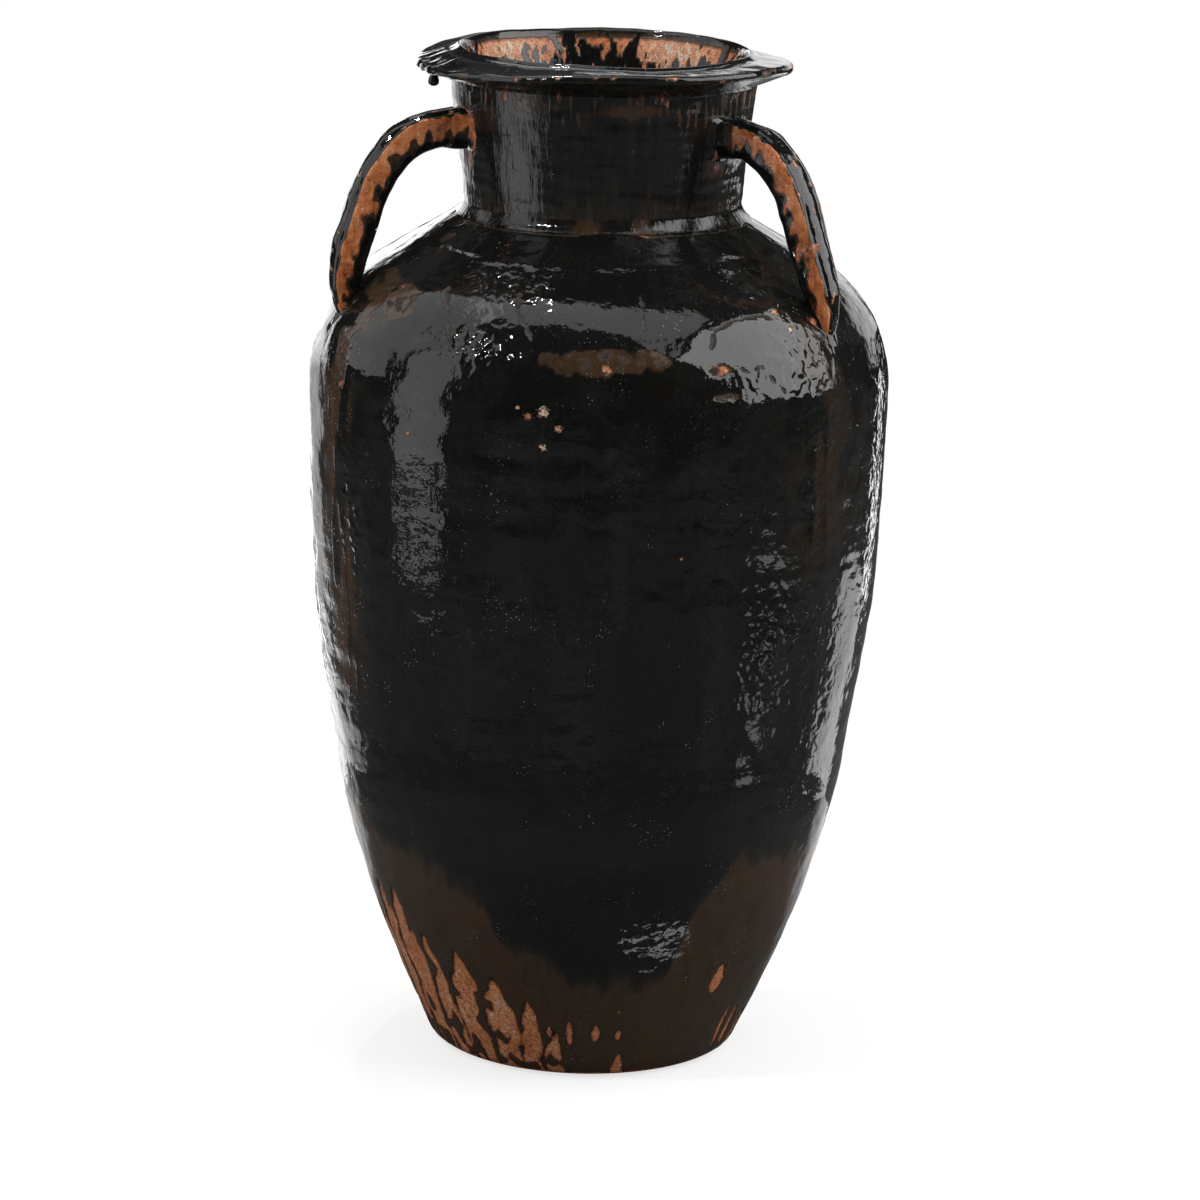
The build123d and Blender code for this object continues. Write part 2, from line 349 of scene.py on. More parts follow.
# The outline of the wall: heel, lower curve, upper curve, upright stretch, shoulder, slope
flank = np.array([girth_radius - flank_draw_in, flank_height])
girth = np.array([girth_radius, girth_height])
upper_round = ((girth_height - flank_height) ** 2 + flank_draw_in**2) / (2 * flank_draw_in)
upper_middle = girth - (upper_round, 0)
flank_out = (flank - upper_middle) / upper_round
chord = flank - (ground_radius, 0)
lower_round = chord @ chord / (2 * chord @ flank_out)
lower_middle = flank - lower_round * flank_out
heel_reach = ((lower_round - heel_round) ** 2 - (lower_middle[1] - heel_round) ** 2) ** 0.5
heel_middle = np.array([lower_middle[0] + heel_reach, heel_round])
heel_end = angle_from(lower_middle, heel_middle)
turn_middle = np.array([girth_radius - shoulder_round, girth_height + girth_band])
slope_start = turn_middle + shoulder_round * np.array([sin(shoulder_slope), cos(shoulder_slope)])
slope_rise = sin(shoulder_slope) / cos(shoulder_slope)
neck_foot = slope_start[1] + (slope_start[0] - neck_foot_radius) * slope_rise
heel = arc(heel_middle, heel_round, -pi / 2, heel_end)
wall_line = np.concatenate([
    arc(lower_middle, lower_round, heel_end, angle_from(lower_middle, flank)),
    arc(upper_middle, upper_round, angle_from(upper_middle, flank), 0)[1:],
    straight(girth, girth + (0, girth_band))[1:],
    arc(turn_middle, shoulder_round, 0, pi / 2 - shoulder_slope)[1:],
    straight(slope_start, (neck_foot_radius, neck_foot))[1:],
])
along = directions(wall_line)
inner_line = wall_line + wall * np.stack([-along[:, 1], along[:, 0]], 1)


def cut_line(line, low, high):
    """The stretch of a rising line between two heights."""
    inside = line[(line[:, 1] > low) & (line[:, 1] < high)]
    ends = [(np.interp(h, line[:, 1], line[:, 0]), h) for h in (low, high)]
    return np.concatenate([ends[:1], inside, ends[1:]])


def ramp(value, low, high):
    """Smooth step from 0 at low to 1 at high."""
    part = np.clip((value - low) / (high - low), 0, 1)
    return part * part * (3 - 2 * part)


def bump(value, middle, half):
    """Soft bump that is 1 at a middle value and fades over a half width."""
    return np.exp(-(((value - middle) / half) ** 2))


def around(angle, middle):
    """Shortest way round from a middle angle, in degrees."""
    return (angle - middle + 180) % 360 - 180


def polar(points):
    """Angle round the jar in degrees, radius and height of points."""
    spin = np.degrees(np.arctan2(points[..., 1], points[..., 0]))
    return spin, np.hypot(points[..., 0], points[..., 1]), points[..., 2]


def off_spot(points, angle, mid, wide, tall):
    """Distance of points from a place on the jar, in half widths and half heights."""
    spin, radius, height = polar(points)
    return np.hypot(radians(1) * around(spin, angle) * radius / wide, (height - mid) / tall)


def lumps(points, size, seed, stretch=(1, 1, 1)):
    """Seeded smooth noise from about -1 to 1, its lumps of a size and stretched on each axis."""
    side = 24  # cells before it repeats
    slopes = np.random.default_rng(seed).normal(size=(side, side, side, 3))
    slopes /= np.linalg.norm(slopes, axis=-1, keepdims=True)
    place = points / (size * np.array(stretch))
    cell = np.floor(place).astype(int)
    part = place - cell
    ease = part**3 * (part * (part * 6 - 15) + 10)
    total = np.zeros(points.shape[:-1])
    for corner in np.ndindex(2, 2, 2):
        near = (cell + corner) % side
        slope = slopes[near[..., 0], near[..., 1], near[..., 2]]
        pull = ((part - corner) * slope).sum(axis=-1)
        total += pull * np.where(np.array(corner) == 1, ease, 1 - ease).prod(axis=-1)
    return 1.7 * total


def layers(points, *shapes):
    """Lumps in layers: the amount, size, seed and perhaps stretch of each."""
    return sum(amount * lumps(points, *shape) for amount, *shape in shapes)


def turned(line, columns):
    """Grid of points: a line in radius and height, turned round the jar's axis."""
    spin = np.linspace(0, 2 * pi, columns, endpoint=False)
    flat = line[:, :1] * np.stack([np.cos(spin), np.sin(spin)], 0)[:, None, :]
    high = np.broadcast_to(line[:, 1:], flat.shape[1:])
    return np.stack([flat[0], flat[1], high], -1)


def grid_normals(grid):
    """Outward normals of a grid that closes round its columns and rises with its rows."""
    round_way = np.roll(grid, -1, axis=1) - np.roll(grid, 1, axis=1)
    normals = np.cross(round_way, np.gradient(grid, axis=0))
    return normals / np.maximum(np.linalg.norm(normals, axis=-1, keepdims=True), 1e-12)


brown_glaze = 0.48  # thickness of the thin brown glaze
black_gain = 0.46  # and what the black one has on top of it
edge_glaze = 0.22  # at the edge of bare clay
edge_width = 0.012  # distance from that edge over which the glaze gains a thickness of 1
film_glaze = 0.08  # left on bare clay

# Spots that the glaze missed near the foot: angle, lowest and highest height, half width
bare_patches = [
    (-86.8, 0.030, 0.052, 0.0034), (-78.8, 0.033, 0.050, 0.0036), (-70, -0.004, 0.022, 0.0050),
    (-71.8, 0.034, 0.044, 0.0026), (-41, 0.066, 0.092, 0.0058), (-93.5, 0.036, 0.046, 0.0020),
    (-141, 0.100, 0.138, 0.0060), (-121, 0.040, 0.100, 0.0075), (-109, 0.030, 0.077, 0.0070),
    (-99.7, 0.034, 0.066, 0.0056),
]
patch_picks = np.random.default_rng(41)
for angle in np.arange(-30, 148, 7.5):
    top = patch_picks.uniform(0.012, 0.05) + 0.03 * ramp(angle, 60, 140)
    low = patch_picks.choice([-0.01, 0.0, 0.012])
    width = patch_picks.uniform(0.002, 0.005)
    bare_patches.append((angle + patch_picks.uniform(-3, 3), low, min(top, 0.09), width))

# Height below which the glaze broke up into runs over bare clay: angle and height
bare_line = np.array([
    (-180, 0.105), (-160, 0.118), (-148, 0.132), (-138, 0.125), (-128, 0.100), (-120, 0.092),
    (-112, 0.082), (-104, 0.068), (-97, 0.056), (-91, 0.036), (-86, 0.006), (-80, -0.03),
    (-60, -0.03), (-40, -0.02), (0, -0.01), (60, 0.0), (100, 0.03), (140, 0.075), (180, 0.105),
])

# Long runs of glaze that reach the foot, with bare clay in wedges between them: angle of each
run_picks = np.random.default_rng(43)
run_angles = [-188, -180, -171, -162, -154, -146, -136, -126.5, -115, -104.3, -96, -88.5]
while run_angles[-1] < 172:
    run_angles.append(run_angles[-1] + run_picks.uniform(6, 12))
run_angles = np.array(run_angles)
wedge_rise = run_picks.uniform(-0.012, 0.016, len(run_angles))
run_half = run_picks.uniform(0.0009, 0.0024, len(run_angles))

# Where the thick black glaze gives way to the thin brown one: angle and height
brown_line = np.array([
    (-180, 0.20), (-160, 0.20), (-140, 0.185), (-126, 0.172), (-117, 0.161), (-109, 0.148),
    (-105, 0.118), (-95, 0.104), (-89, 0.085), (-70, 0.078), (-60, 0.088), (-54, 0.150),
    (-44, 0.180), (-26, 0.178), (0, 0.16), (40, 0.11), (90, 0.14), (140, 0.17), (180, 0.20),
])

# Upright bands where the glaze is thin and brown: angle, half width in degrees, heights where
# the band starts and is full, and how strong it is
thin_bands = [(-144, 8, (0.24, 0.32), 1.0), (-33, 14, (0.36, 0.44), 0.6)]


def beside(points, line):
    """Distance of points on the wall from a line of angles and heights, and how far along it."""
    spin, radius, height = polar(points)
    off = np.full(radius.shape, 1.0)
    along = np.zeros(radius.shape)
    for place, ((angle, low), (to_angle, high)) in enumerate(zip(line[:-1], line[1:])):
        reach = radians(1) * (to_angle - angle) * radius
        reach = np.stack([reach, np.full_like(radius, high - low)])
        out = np.stack([radians(1) * around(spin, angle) * radius, height - low])
        part = np.clip((out * reach).sum(axis=0) / (reach * reach).sum(axis=0), 0, 1)
        near = np.hypot(*(out - part * reach))
        along = np.where(near < off, (place + part) / (len(line) - 1), along)
        off = np.minimum(off, near)
    return off, along


def wedge_gap(points, wander):
    """Distance of points on the wall from the wedges of bare clay between the long runs."""
    spin, radius, height = polar(points)
    sway = spin + 2.2 * lumps(points, 0.030, 15, (1, 1, 1.3))
    cell = np.clip(np.searchsorted(run_angles, sway) - 1, 0, len(run_angles) - 2)
    half = radians(0.5) * radius * (run_angles[cell + 1] - run_angles[cell])
    aside = radians(1) * radius * (sway - (run_angles[cell + 1] + run_angles[cell]) / 2)
    top = np.interp(spin, *bare_line.T) + wedge_rise[cell]
    top -= 0.030 * np.abs(aside / half) ** 1.7
    inset = half - np.abs(aside) - run_half[cell] * (0.7 + 3.5 * np.clip(height, 0, 0.1))
    gap = 1.5 * wander - np.minimum(inset, 0.30 * (top - height))
    islands = lumps(points, 0.011, 17, (1, 1, 2)) + 0.30 * ramp(height, 0.036, 0.008)
    return np.maximum(gap, 0.02 * (islands - 0.42))


def patch_gap(points, wander):
    """Distance of points on the wall from the nearest bare patch, a drop with its tip down."""
    spin, radius, height = polar(points)
    gap = np.full(radius.shape, 1.0)
    for angle, low, high, half in bare_patches:
        tall = np.clip((height - low) / (high - low), 0, 1)
        swell = np.sin(pi * tall**0.72) ** 0.8
        beyond = np.maximum(low - height, 0) + np.maximum(height - high, 0)
        aside = np.abs(radians(1) * around(spin, angle) * radius + wander)
        gap = np.minimum(gap, np.where(beyond > 0, beyond + aside, aside - half * swell))
    return gap


def ridge_gap(points, wander, blots):
    """Distance of points on the wall from the nearest ragged thin place on the ridge."""
    rough = 1.4 * wander + 0.0014 * lumps(points, 0.006, 16)
    ragged = 0.30 * blots + layers(points, (0.35, 0.013, 18), (0.20, 0.0055, 20))
    gap = np.full(points.shape[:-1], 1.0)
    for *place, tall, depth in ridge_spots:
        off = off_spot(points, *place, tall) + ragged
        gap = np.minimum(gap, np.maximum(5 * (off - 1) * tall, -0.0006) + depth + rough)
    return gap


def wall_glaze(points):
    """Glaze thickness over the wall: 0 is bare clay, 0.5 thin and brown, 1 thick and black."""
    spin, radius, height = polar(points)
    runs = lumps(points, 0.010, 11, (1, 1, 7))
    blots = lumps(points, 0.034, 12, (1, 1, 1.6))
    line = np.interp(spin, *brown_line.T) + 0.014 * blots + 0.012 * runs
    blacker = ramp(height, line - 0.010, line + 0.016)
    thick = brown_glaze + black_gain * blacker
    thin = np.zeros(radius.shape)
    for angle, half, rise, share in thin_bands:
        band = bump(around(spin, angle), 0, half) * ramp(height, *rise)
        thin = np.maximum(thin, share * band)
    thick -= 0.55 * ramp(blots + runs * 0.9, -0.30, 0.30) * thin
    thick += 0.07 * blots + 0.05 * runs
    wander = layers(points, (0.0016, 0.009, 13, (1, 1, 3)), (0.0007, 0.0035, 14))
    gap = np.minimum(wedge_gap(points, wander), patch_gap(points, wander))
    gap = np.minimum(gap, ridge_gap(points, wander, blots))
    thick = np.minimum(thick, edge_glaze + gap / edge_width)
    thick = np.maximum(thick, film_glaze + 0.05 * blots)
    heel_edge = (height - 0.0035 - 0.0012 * runs) / 0.004
    return np.clip(np.minimum(thick, 0.12 + np.maximum(heel_edge, 0)), 0, 1)


# Thin places on the ridge of the shoulder: angle, height, half width, half height, and how
# far short of bare clay they stop
ridge_spots = [
    (-83.5, 0.5605, 0.046, 0.0085, 0.0031), (-58.4, 0.5545, 0.0085, 0.0030, 0.0004),
    (-57.2, 0.5360, 0.0066, 0.0020, 0.0006), (-133.0, 0.5850, 0.016, 0.011, 0.0024),
    (-80.0, 0.5565, 0.008, 0.0035, 0.0006), (-143.5, 0.538, 0.010, 0.022, 0.0022),
]

# Where the glaze has wrinkled: angle, height, half width, half height, amount
wrinkles = [
    (-37, 0.556, 0.030, 0.026, 1.0), (-46, 0.346, 0.022, 0.044, 0.9),
    (-115, 0.355, 0.012, 0.030, 0.5), (-139, 0.425, 0.014, 0.050, 0.7),
    (-52, 0.545, 0.014, 0.010, 0.7), (-109, 0.566, 0.032, 0.013, 1.3),
    (-36, 0.480, 0.016, 0.050, 0.5), (-62, 0.108, 0.042, 0.028, 0.4),
    (-58, 0.430, 0.040, 0.060, 0.2), (-118, 0.455, 0.016, 0.028, 0.1),
    (-8, 0.440, 0.030, 0.150, 0.25), (-30, 0.290, 0.030, 0.080, 0.4),
    (-160, 0.300, 0.034, 0.120, 0.2), (-122, 0.400, 0.018, 0.016, 0.6),
    (-104, 0.606, 0.030, 0.014, 0.8), (140, 0.45, 0.08, 0.10, 0.5), (60, 0.36, 0.07, 0.09, 0.5),
    (10, 0.52, 0.05, 0.06, 0.6), (-175, 0.33, 0.05, 0.08, 0.5),
]

# Splits where the glaze on the shoulder crawled apart: half widths at both ends, and the
# angles and heights along each
splits = [
    (0.0019, 0.0006, [(-123.0, 0.5976), (-118.2, 0.5868), (-116.5, 0.5778), (-114.4, 0.5651)]),
    (0.0019, 0.0006, [(-102.8, 0.5985), (-100.5, 0.5885), (-98.2, 0.5811), (-96.8, 0.5749)]),
    (0.0008, 0.0005, [(-72.9, 0.6005), (-73.1, 0.5821)]),
    (0.0010, 0.0007, [(-59.2, 0.5692), (-57.6, 0.5795), (-53.7, 0.5849), (-44.4, 0.5878),
                      (-42.2, 0.5836)]),
    (0.0006, 0.0006, [(-54.8, 0.5564), (-52.1, 0.5524), (-49.1, 0.5543), (-44.3, 0.5363)]),
    (0.0020, 0.0008, [(60.0, 0.6010), (63.0, 0.5860), (61.0, 0.5640)]),
    (0.0018, 0.0008, [(128.0, 0.6000), (131.0, 0.5700)]),
]
split_reach = 0.006  # nothing further from a split feels it


def split_gaps(points):
    """Distance from the nearest split's edge in millimetres, below 0 inside it."""
    wander = layers(points, (0.0018, 0.0075, 63), (0.0009, 0.0035, 64))
    gap = np.full(points.shape[:-1], split_reach)
    for start_half, end_half, line in splits:
        off, along = beside(points, line)
        gap = np.minimum(gap, off + wander - start_half - (end_half - start_half) * along)
    return 1000 * gap


def creases(points):
    """How wrinkled the glaze is."""
    return sum(amount * bump(off_spot(points, *place), 0, 1) for *place, amount in wrinkles)


# Unevenness of the wall: how far it stands out, and the size, seed and stretch of its lumps
unevenness = [
    (0.0016, 0.105, 1), (0.0007, 0.042, 2), (0.00028, 0.017, 3), (0.00009, 0.0085, 4),
    (0.00032, 0.017, 5, (7, 7, 1)), (0.00006, 0.0052, 6, (5, 5, 1)),
]
ridge_height = 0.5585  # the ridge round the shoulder
ridge_stands = 0.0011
ridge_half = 0.0065
hollow_depth = 0.00012  # the hollow at the top of the middle course
hollow_half = 0.0034
ring_height = 0.618  # a throwing ring under the neck
ring_stands = 0.0005
ring_half = 0.0022
glaze_stands = 0.00055  # what thick glaze adds to the clay


def wall_relief(points, thick):
    """How far the wall stands out from its plain outline."""
    height = points[..., 2]
    relief = layers(points, *unevenness)
    sway = layers(points, (0.0035, 0.06, 7), (0.001, 0.014, 8))
    fading = 0.7 + 0.6 * lumps(points, 0.05, 9)
    relief += ridge_stands * fading * bump(height, ridge_height + sway, ridge_half)
    relief -= hollow_depth * bump(height, middle_wall_top + 2.0 * sway, hollow_half)
    relief += ring_stands * bump(height, ring_height + 0.4 * sway, ring_half)
    relief += layers(points, (0.00036, 0.0090, 61), (0.00013, 0.0042, 62)) * creases(points)
    relief += glaze_stands * (ramp(thick, 0.16, 0.42) - 1)
    return relief * ramp(height, 0, 0.012)


wall_parts = [
    paced(straight((hub_radius, 0), (heel_middle[0], 0)), underside_step),
    paced(np.concatenate([heel, cut_line(wall_line, heel[-1, 1], base_thickness)[1:]]), heel_step),
    paced(cut_line(wall_line, base_thickness, lower_wall_top), row_step),
    paced(cut_line(wall_line, lower_wall_top, middle_wall_top), row_step),
    paced(cut_line(wall_line, middle_wall_top, shoulder_seam), row_step),
    paced(cut_line(wall_line, shoulder_seam, neck_foot), shoulder_step),
]
row_sums = np.cumsum([len(part) - 1 for part in wall_parts])
slab_row, lower_row, middle_row, shoulder_row = row_sums[1:5]  # the seams of the pieces
wall_rows = np.concatenate([part[:-1] for part in wall_parts] + [wall_parts[-1][-1:]])
wall_plain = turned(wall_rows, wall_columns)
wall_thick = wall_glaze(wall_plain)
wall_grid = wall_plain + grid_normals(wall_plain) * wall_relief(wall_plain, wall_thick)[..., None]
wall_normals = grid_normals(wall_grid)


def skin(name, stretches, ring=True):
    """Piece made of stretches of rows, each with points, glaze and normals, that close round
    their columns. The rows close into a ring as well, or else each end has a middle point."""
    grid = np.concatenate([stretch[0] for stretch in stretches])
    rows, columns = grid.shape[:2]
    points = grid.reshape(-1, 3)
    values = np.concatenate([stretch[1] for stretch in stretches]).reshape(-1)
    index = np.arange(rows * columns).reshape(rows, columns)
    upper = np.roll(index, -1, axis=0) if ring else index[1:]
    lower = index[: len(upper)]
    quads = np.stack([lower, np.roll(lower, -1, axis=1), np.roll(upper, -1, axis=1), upper], -1)
    normals = np.zeros((*lower.shape, 4, 3))
    corners = []
    for stretch in stretches:
        first = corners[-1] + 1 if corners else 0
        last = first + len(stretch[0]) - 1
        own = quads[first:last] - first * columns
        normals[first:last] = stretch[2].reshape(-1, 3)[own]
        corners += [first, last]
    faces = quads.reshape(-1, 4).tolist()
    normals = normals.reshape(-1, 3)
    if not ring:
        for end, flip in ((0, 1), (-1, -1)):
            faces += [
                (int(a), int(b), len(points))[::flip]
                for a, b in zip(np.roll(index[end], -1), index[end])
            ]
            points = np.vstack([points, grid[end].mean(axis=0)])
            values = np.append(values, values[index[end]].mean())
        normals = np.concatenate([normals, np.zeros((6 * columns, 3))])
        corners = corners[1:-1]
    mesh = bpy.data.meshes.new(name)
    mesh.from_pydata(points.tolist(), [], faces)
    mesh.shade_smooth()
    stored = {"glaze": values, "crease": creases(points), "split": split_gaps(points)}
    for key, amounts in stored.items():
        mesh.attributes.new(key, "FLOAT", "POINT").data.foreach_set("value", amounts)
    if corners:
        ends = np.zeros(2 * len(mesh.edges), int)
        mesh.edges.foreach_get("vertices", ends)
        ends = ends.reshape(-1, 2) // columns
        level = (ends[:, 0] == ends[:, 1]) & np.isin(ends[:, 0], corners)
        mesh.edges.foreach_set("use_edge_sharp", level)
    mesh.normals_split_custom_set(normals.tolist())
    piece = bpy.data.objects.new(name, mesh)
    bpy.context.collection.objects.link(piece)
    return piece


def stretch_of(grid, thick):
    """A grid of rows and its glaze thickness as skin takes them."""
    return grid, np.broadcast_to(thick, grid.shape[:2]), grid_normals(grid)


def wall_stretch(first, last):
    """The rows of the wall from one to another as skin takes them."""
    rows = slice(first, last + 1)
    return wall_grid[rows], wall_thick[rows], wall_normals[rows]


def new_group(name, inputs, outputs):
    """Shader node group with number inputs and their values, and named outputs."""
    made = bpy.data.node_groups.new(name, "ShaderNodeTree")
    for key, value in inputs.items():
        knob = made.interface.new_socket(key, in_out="INPUT", socket_type="NodeSocketFloat")
        knob.default_value = value
    for key, kind in outputs.items():
        made.interface.new_socket(key, in_out="OUTPUT", socket_type="NodeSocket" + kind)
    return made, made.nodes.new("NodeGroupInput").outputs


def end_group(tree, results):
    """Link a group's results to its outputs."""
    end = tree.nodes.new("NodeGroupOutput")
    for key, value in results.items():
        tree.links.new(value, end.inputs[key])


def mixed(tree, factor, first, second, way="MIX"):
    """Two colours mixed by a factor."""
    knobs = {"Factor": factor, "A": first, "B": second}
    return socket(put(tree, "Mix", knobs, data_type="RGBA", blend_type=way).outputs, "Result")


def grain(tree, where, scale, detail=3.0, rough=0.55):
    """Noise from -1 to 1 at a scale."""
    knobs = {"Vector": where, "Scale": scale, "Detail": detail, "Roughness": rough}
    value = put(tree, "TexNoise", knobs).outputs[0]
    return plus(tree, value, 2.0, -1.0)


def patches(tree, where, scale, detail, low, high):
    """Noise turned into patches of 1 on 0 with soft edges."""
    return eased(tree, grain(tree, where, scale, detail), low, high)


def cells(tree, where, scale, feature="F1"):
    """Distance from the middle of the nearest of scattered cells, or from its edge."""
    made = put(tree, "TexVoronoi", {"Vector": where, "Scale": scale}, feature=feature)
    return made.outputs["Distance"]


def ramp_of(tree, value, stops):
    """Colour ramp with stops of place and colour, or of place and grey."""
    made = put(tree, "ValToRGB", {0: value})
    made.color_ramp.elements.remove(made.color_ramp.elements[0])
    for n, (place, colour) in enumerate(stops):
        stop = made.color_ramp.elements[0] if n == 0 else made.color_ramp.elements.new(place)
        stop.position = place
        stop.color = (*colour, 1) if isinstance(colour, tuple) else (colour, colour, colour, 1)
    return made.outputs[0]


def stretched(tree, where, scale):
    """The same place with each axis scaled, so that noise is drawn out along one."""
    return put(tree, "Mapping", {"Vector": where, "Scale": scale}).outputs[0]


# Glaze colour, from bare rusty clay through thin brown glaze to thick black glaze
salt_colour = (0.74, 0.53, 0.42, 1)
mark_colour = (0.40, 0.38, 0.35, 1)
colours, given = new_group(
    "glaze_colour",
    {"Thickness": 1.0, "Fray": 0.10, "Streak": 0.10, "Grit": 1.0, "Pits": 0.5, "Sheen": 0.0},
    {"Colour": "Color", "Roughness": "Float", "Cover": "Float", "Coat": "Float"},
)
tree = colours
spot = put(tree, "TexCoord").outputs["Object"]
fray = times(tree, grain(tree, spot, 240.0, 5.0, 0.62), given["Fray"])
drawn = grain(tree, stretched(tree, spot, (1, 1, 0.11)), 260.0, 4.0)
depth = plus(tree, drawn, given["Streak"], given["Thickness"])
depth = sums(tree, "ADD", depth, fray)

# Body colour by thickness, tinged cool and warm in clouds, and grit and salt on bare clay
base = ramp_of(tree, depth, [
    (0.00, (0.66, 0.53, 0.43)), (0.04, (0.60, 0.28, 0.130)), (0.10, (0.54, 0.185, 0.064)),
    (0.15, (0.42, 0.128, 0.038)), (0.20, (0.29, 0.080, 0.022)), (0.235, (0.110, 0.034, 0.012)),
    (0.26, (0.014, 0.008, 0.005)), (0.30, (0.018, 0.010, 0.006)),
    (0.36, (0.050, 0.026, 0.014)), (0.50, (0.044, 0.026, 0.014)), (0.66, (0.018, 0.0125, 0.0085)),
    (0.80, (0.0100, 0.0092, 0.0078)), (0.95, (0.0058, 0.0060, 0.0061)),
])
cloud = plus(tree, grain(tree, spot, 14.0, 3.0), 0.5, 0.5)
tinge = ramp_of(tree, cloud, [
    (0.30, (1.0, 0.86, 0.72)), (0.50, (0.90, 0.90, 0.88)), (0.68, (0.82, 0.96, 1.0)),
])
cover = eased(tree, depth, 0.20, 0.32)
toned = mixed(tree, cover, base, mixed(tree, 1.0, base, tinge, "MULTIPLY"))
grit = ramp_of(tree, plus(tree, grain(tree, spot, 620.0, 3.0), 0.5, 0.5), [
    (0.34, (0.30, 0.25, 0.22)), (0.46, (0.74, 0.70, 0.68)), (0.60, (1.0, 1.0, 1.0)),
])
bare = times(tree, eased(tree, depth, 0.27, 0.20), given["Grit"])
toned = mixed(tree, bare, toned, mixed(tree, 1.0, toned, grit, "MULTIPLY"))
salt = times(tree, patches(tree, spot, 520.0, 2.0, 0.16, 0.34), bare)
salt = times(tree, salt, patches(tree, spot, 52.0, 3.0, -0.02, 0.26))
toned = mixed(tree, times(tree, salt, 0.9), toned, salt_colour)

# Pale marks in the glaze: pinholes, fine upright hairs, cracks round small cells, and dust
dots = eased(tree, cells(tree, spot, 330.0), 0.17, 0.09)
dots = times(tree, dots, patches(tree, spot, 26.0, 3.0, 0.12, 0.40))
hair = patches(tree, stretched(tree, spot, (1, 1, 0.10)), 480.0, 1.0, 0.52, 0.66)
hair = times(tree, hair, patches(tree, spot, 40.0, 3.0, 0.25, 0.45))
dots = sums(tree, "MAXIMUM", dots, hair)
astray = put(tree, "TexNoise", {"Vector": spot, "Scale": 130.0, "Detail": 2.0}).outputs["Color"]
astray = put(tree, "VectorMath", {0: astray, "Scale": 0.012}, operation="SCALE").outputs[0]
astray = vector_sum(tree, "ADD", spot, astray)
cracks = eased(tree, cells(tree, astray, 150.0, "DISTANCE_TO_EDGE"), 0.030, 0.012)
cracks = times(tree, cracks, eased(tree, grain(tree, spot, 24.0, 6.0, 0.85), 0.02, 0.40))
cracks = times(tree, cracks, patches(tree, spot, 210.0, 1.0, -0.10, 0.20))
dots = sums(tree, "MAXIMUM", dots, times(tree, cracks, 0.16))
dust = times(tree, patches(tree, spot, 1300.0, 0.0, 0.46, 0.66), 0.14)
dust = times(tree, dust, patches(tree, spot, 18.0, 4.0, -0.30, 0.40))
dots = sums(tree, "MAXIMUM", dots, dust)
dots = times(tree, dots, given["Pits"])
toned = mixed(tree, dots, toned, mark_colour)

# Roughness by thickness: bare clay is dull, the rim of the glaze duller, thick glaze glossy
dull = ramp_of(tree, depth, [
    (0.0, 0.68), (0.2, 0.54), (0.25, 0.9), (0.30, 0.9), (0.37, 0.30), (0.46, 0.13), (0.6, 0.09),
    (0.95, 0.025),
])
shine = plus(tree, given["Sheen"], -0.6, 1.0)
dull = times(tree, dull, shine)
dull = plus(tree, grain(tree, spot, 70.0, 4.0), 0.02, dull)
dull = plus(tree, dots, 0.3, dull)
end_group(tree, {
    "Colour": toned, "Roughness": dull, "Cover": cover, "Coat": eased(tree, depth, 0.54, 0.72),
})

# Glaze surface, its heights in metres: slow waves, rings, runs, folds where it has wrinkled, a
# step up to the thick glaze, fine orange peel, burst bubbles left as pits, and sandy bare clay
surface, given = new_group(
    "glaze_surface",
    {"Waves": 1.0, "Rings": 1.0, "Runs": 0.2, "Peel": 1.0, "Pits": 1.0, "Cover": 1.0, "Coat": 1.0,
     "Crease": 0.0},
    {"Height": "Float"},
)
tree = surface
spot = put(tree, "TexCoord").outputs["Object"]
waves = times(tree, grain(tree, spot, 80.0, 3.0, 0.55), 0.00020)
rings = grain(tree, stretched(tree, spot, (0.3, 0.3, 1)), 150.0, 2.0)
runs = grain(tree, stretched(tree, spot, (1, 1, 0.12)), 230.0, 4.0)
fold = sums(tree, "ABSOLUTE", grain(tree, spot, 80.0, 1.5, 0.5))
fold = times(tree, eased(tree, fold, 0.34, 0.0), given["Crease"])
peel = times(tree, grain(tree, spot, 420.0, 3.0, 0.6), 0.000009)
pit = eased(tree, cells(tree, spot, 240.0), 0.22, 0.10)
pit = times(tree, pit, patches(tree, spot, 30.0, 2.0, 0.05, 0.35))
sand = times(tree, grain(tree, spot, 800.0, 3.0), 0.00016)
height = times(tree, waves, given["Waves"])
for shape, share in (
    (times(tree, rings, 0.00006), given["Rings"]),
    (times(tree, runs, 0.00014), given["Runs"]),
    (fold, 0.00070), (given["Coat"], 0.00013), (peel, given["Peel"]),
    (times(tree, pit, -0.00012), given["Pits"]),
    (sand, sums(tree, "SUBTRACT", 1.0, given["Cover"])),
):
    height = plus(tree, shape, share, height)
end_group(tree, {"Height": height})


def chipped(tree, thick, chips):
    """Glaze thickness with small chips cut out of it: angle, height, half size, and what is
    left at the core."""
    spot = put(tree, "TexCoord").outputs["Object"]
    ragged = times(tree, grain(tree, spot, 560.0, 3.0, 0.7), 1.5)
    for angle, height, half, core in chips:
        radius = np.interp(height, wall_line[:, 1], wall_line[:, 0])
        away = vector_sum(tree, "DISTANCE", spot, at(angle, radius, height), "Value")
        away = plus(tree, away, 1 / half, ragged)
        left = plus(tree, eased(tree, away, 0.60, 1.10), 1.1, core)
        thick = sums(tree, "MINIMUM", thick, left)
    return thick


# Splits in the glaze, which show clay and have a sloping edge. The clay in them is painted near
# black, a painted shade down in each split
split_edge = 0.5  # width of the slope in millimetres
split_fall = 0.0006  # how far it falls for each of them
split_frays = 0.9  # how far its edge wanders, in millimetres
split_painted_shade = (0.014, 0.007, 0.004, 1)
split_dull = 0.45


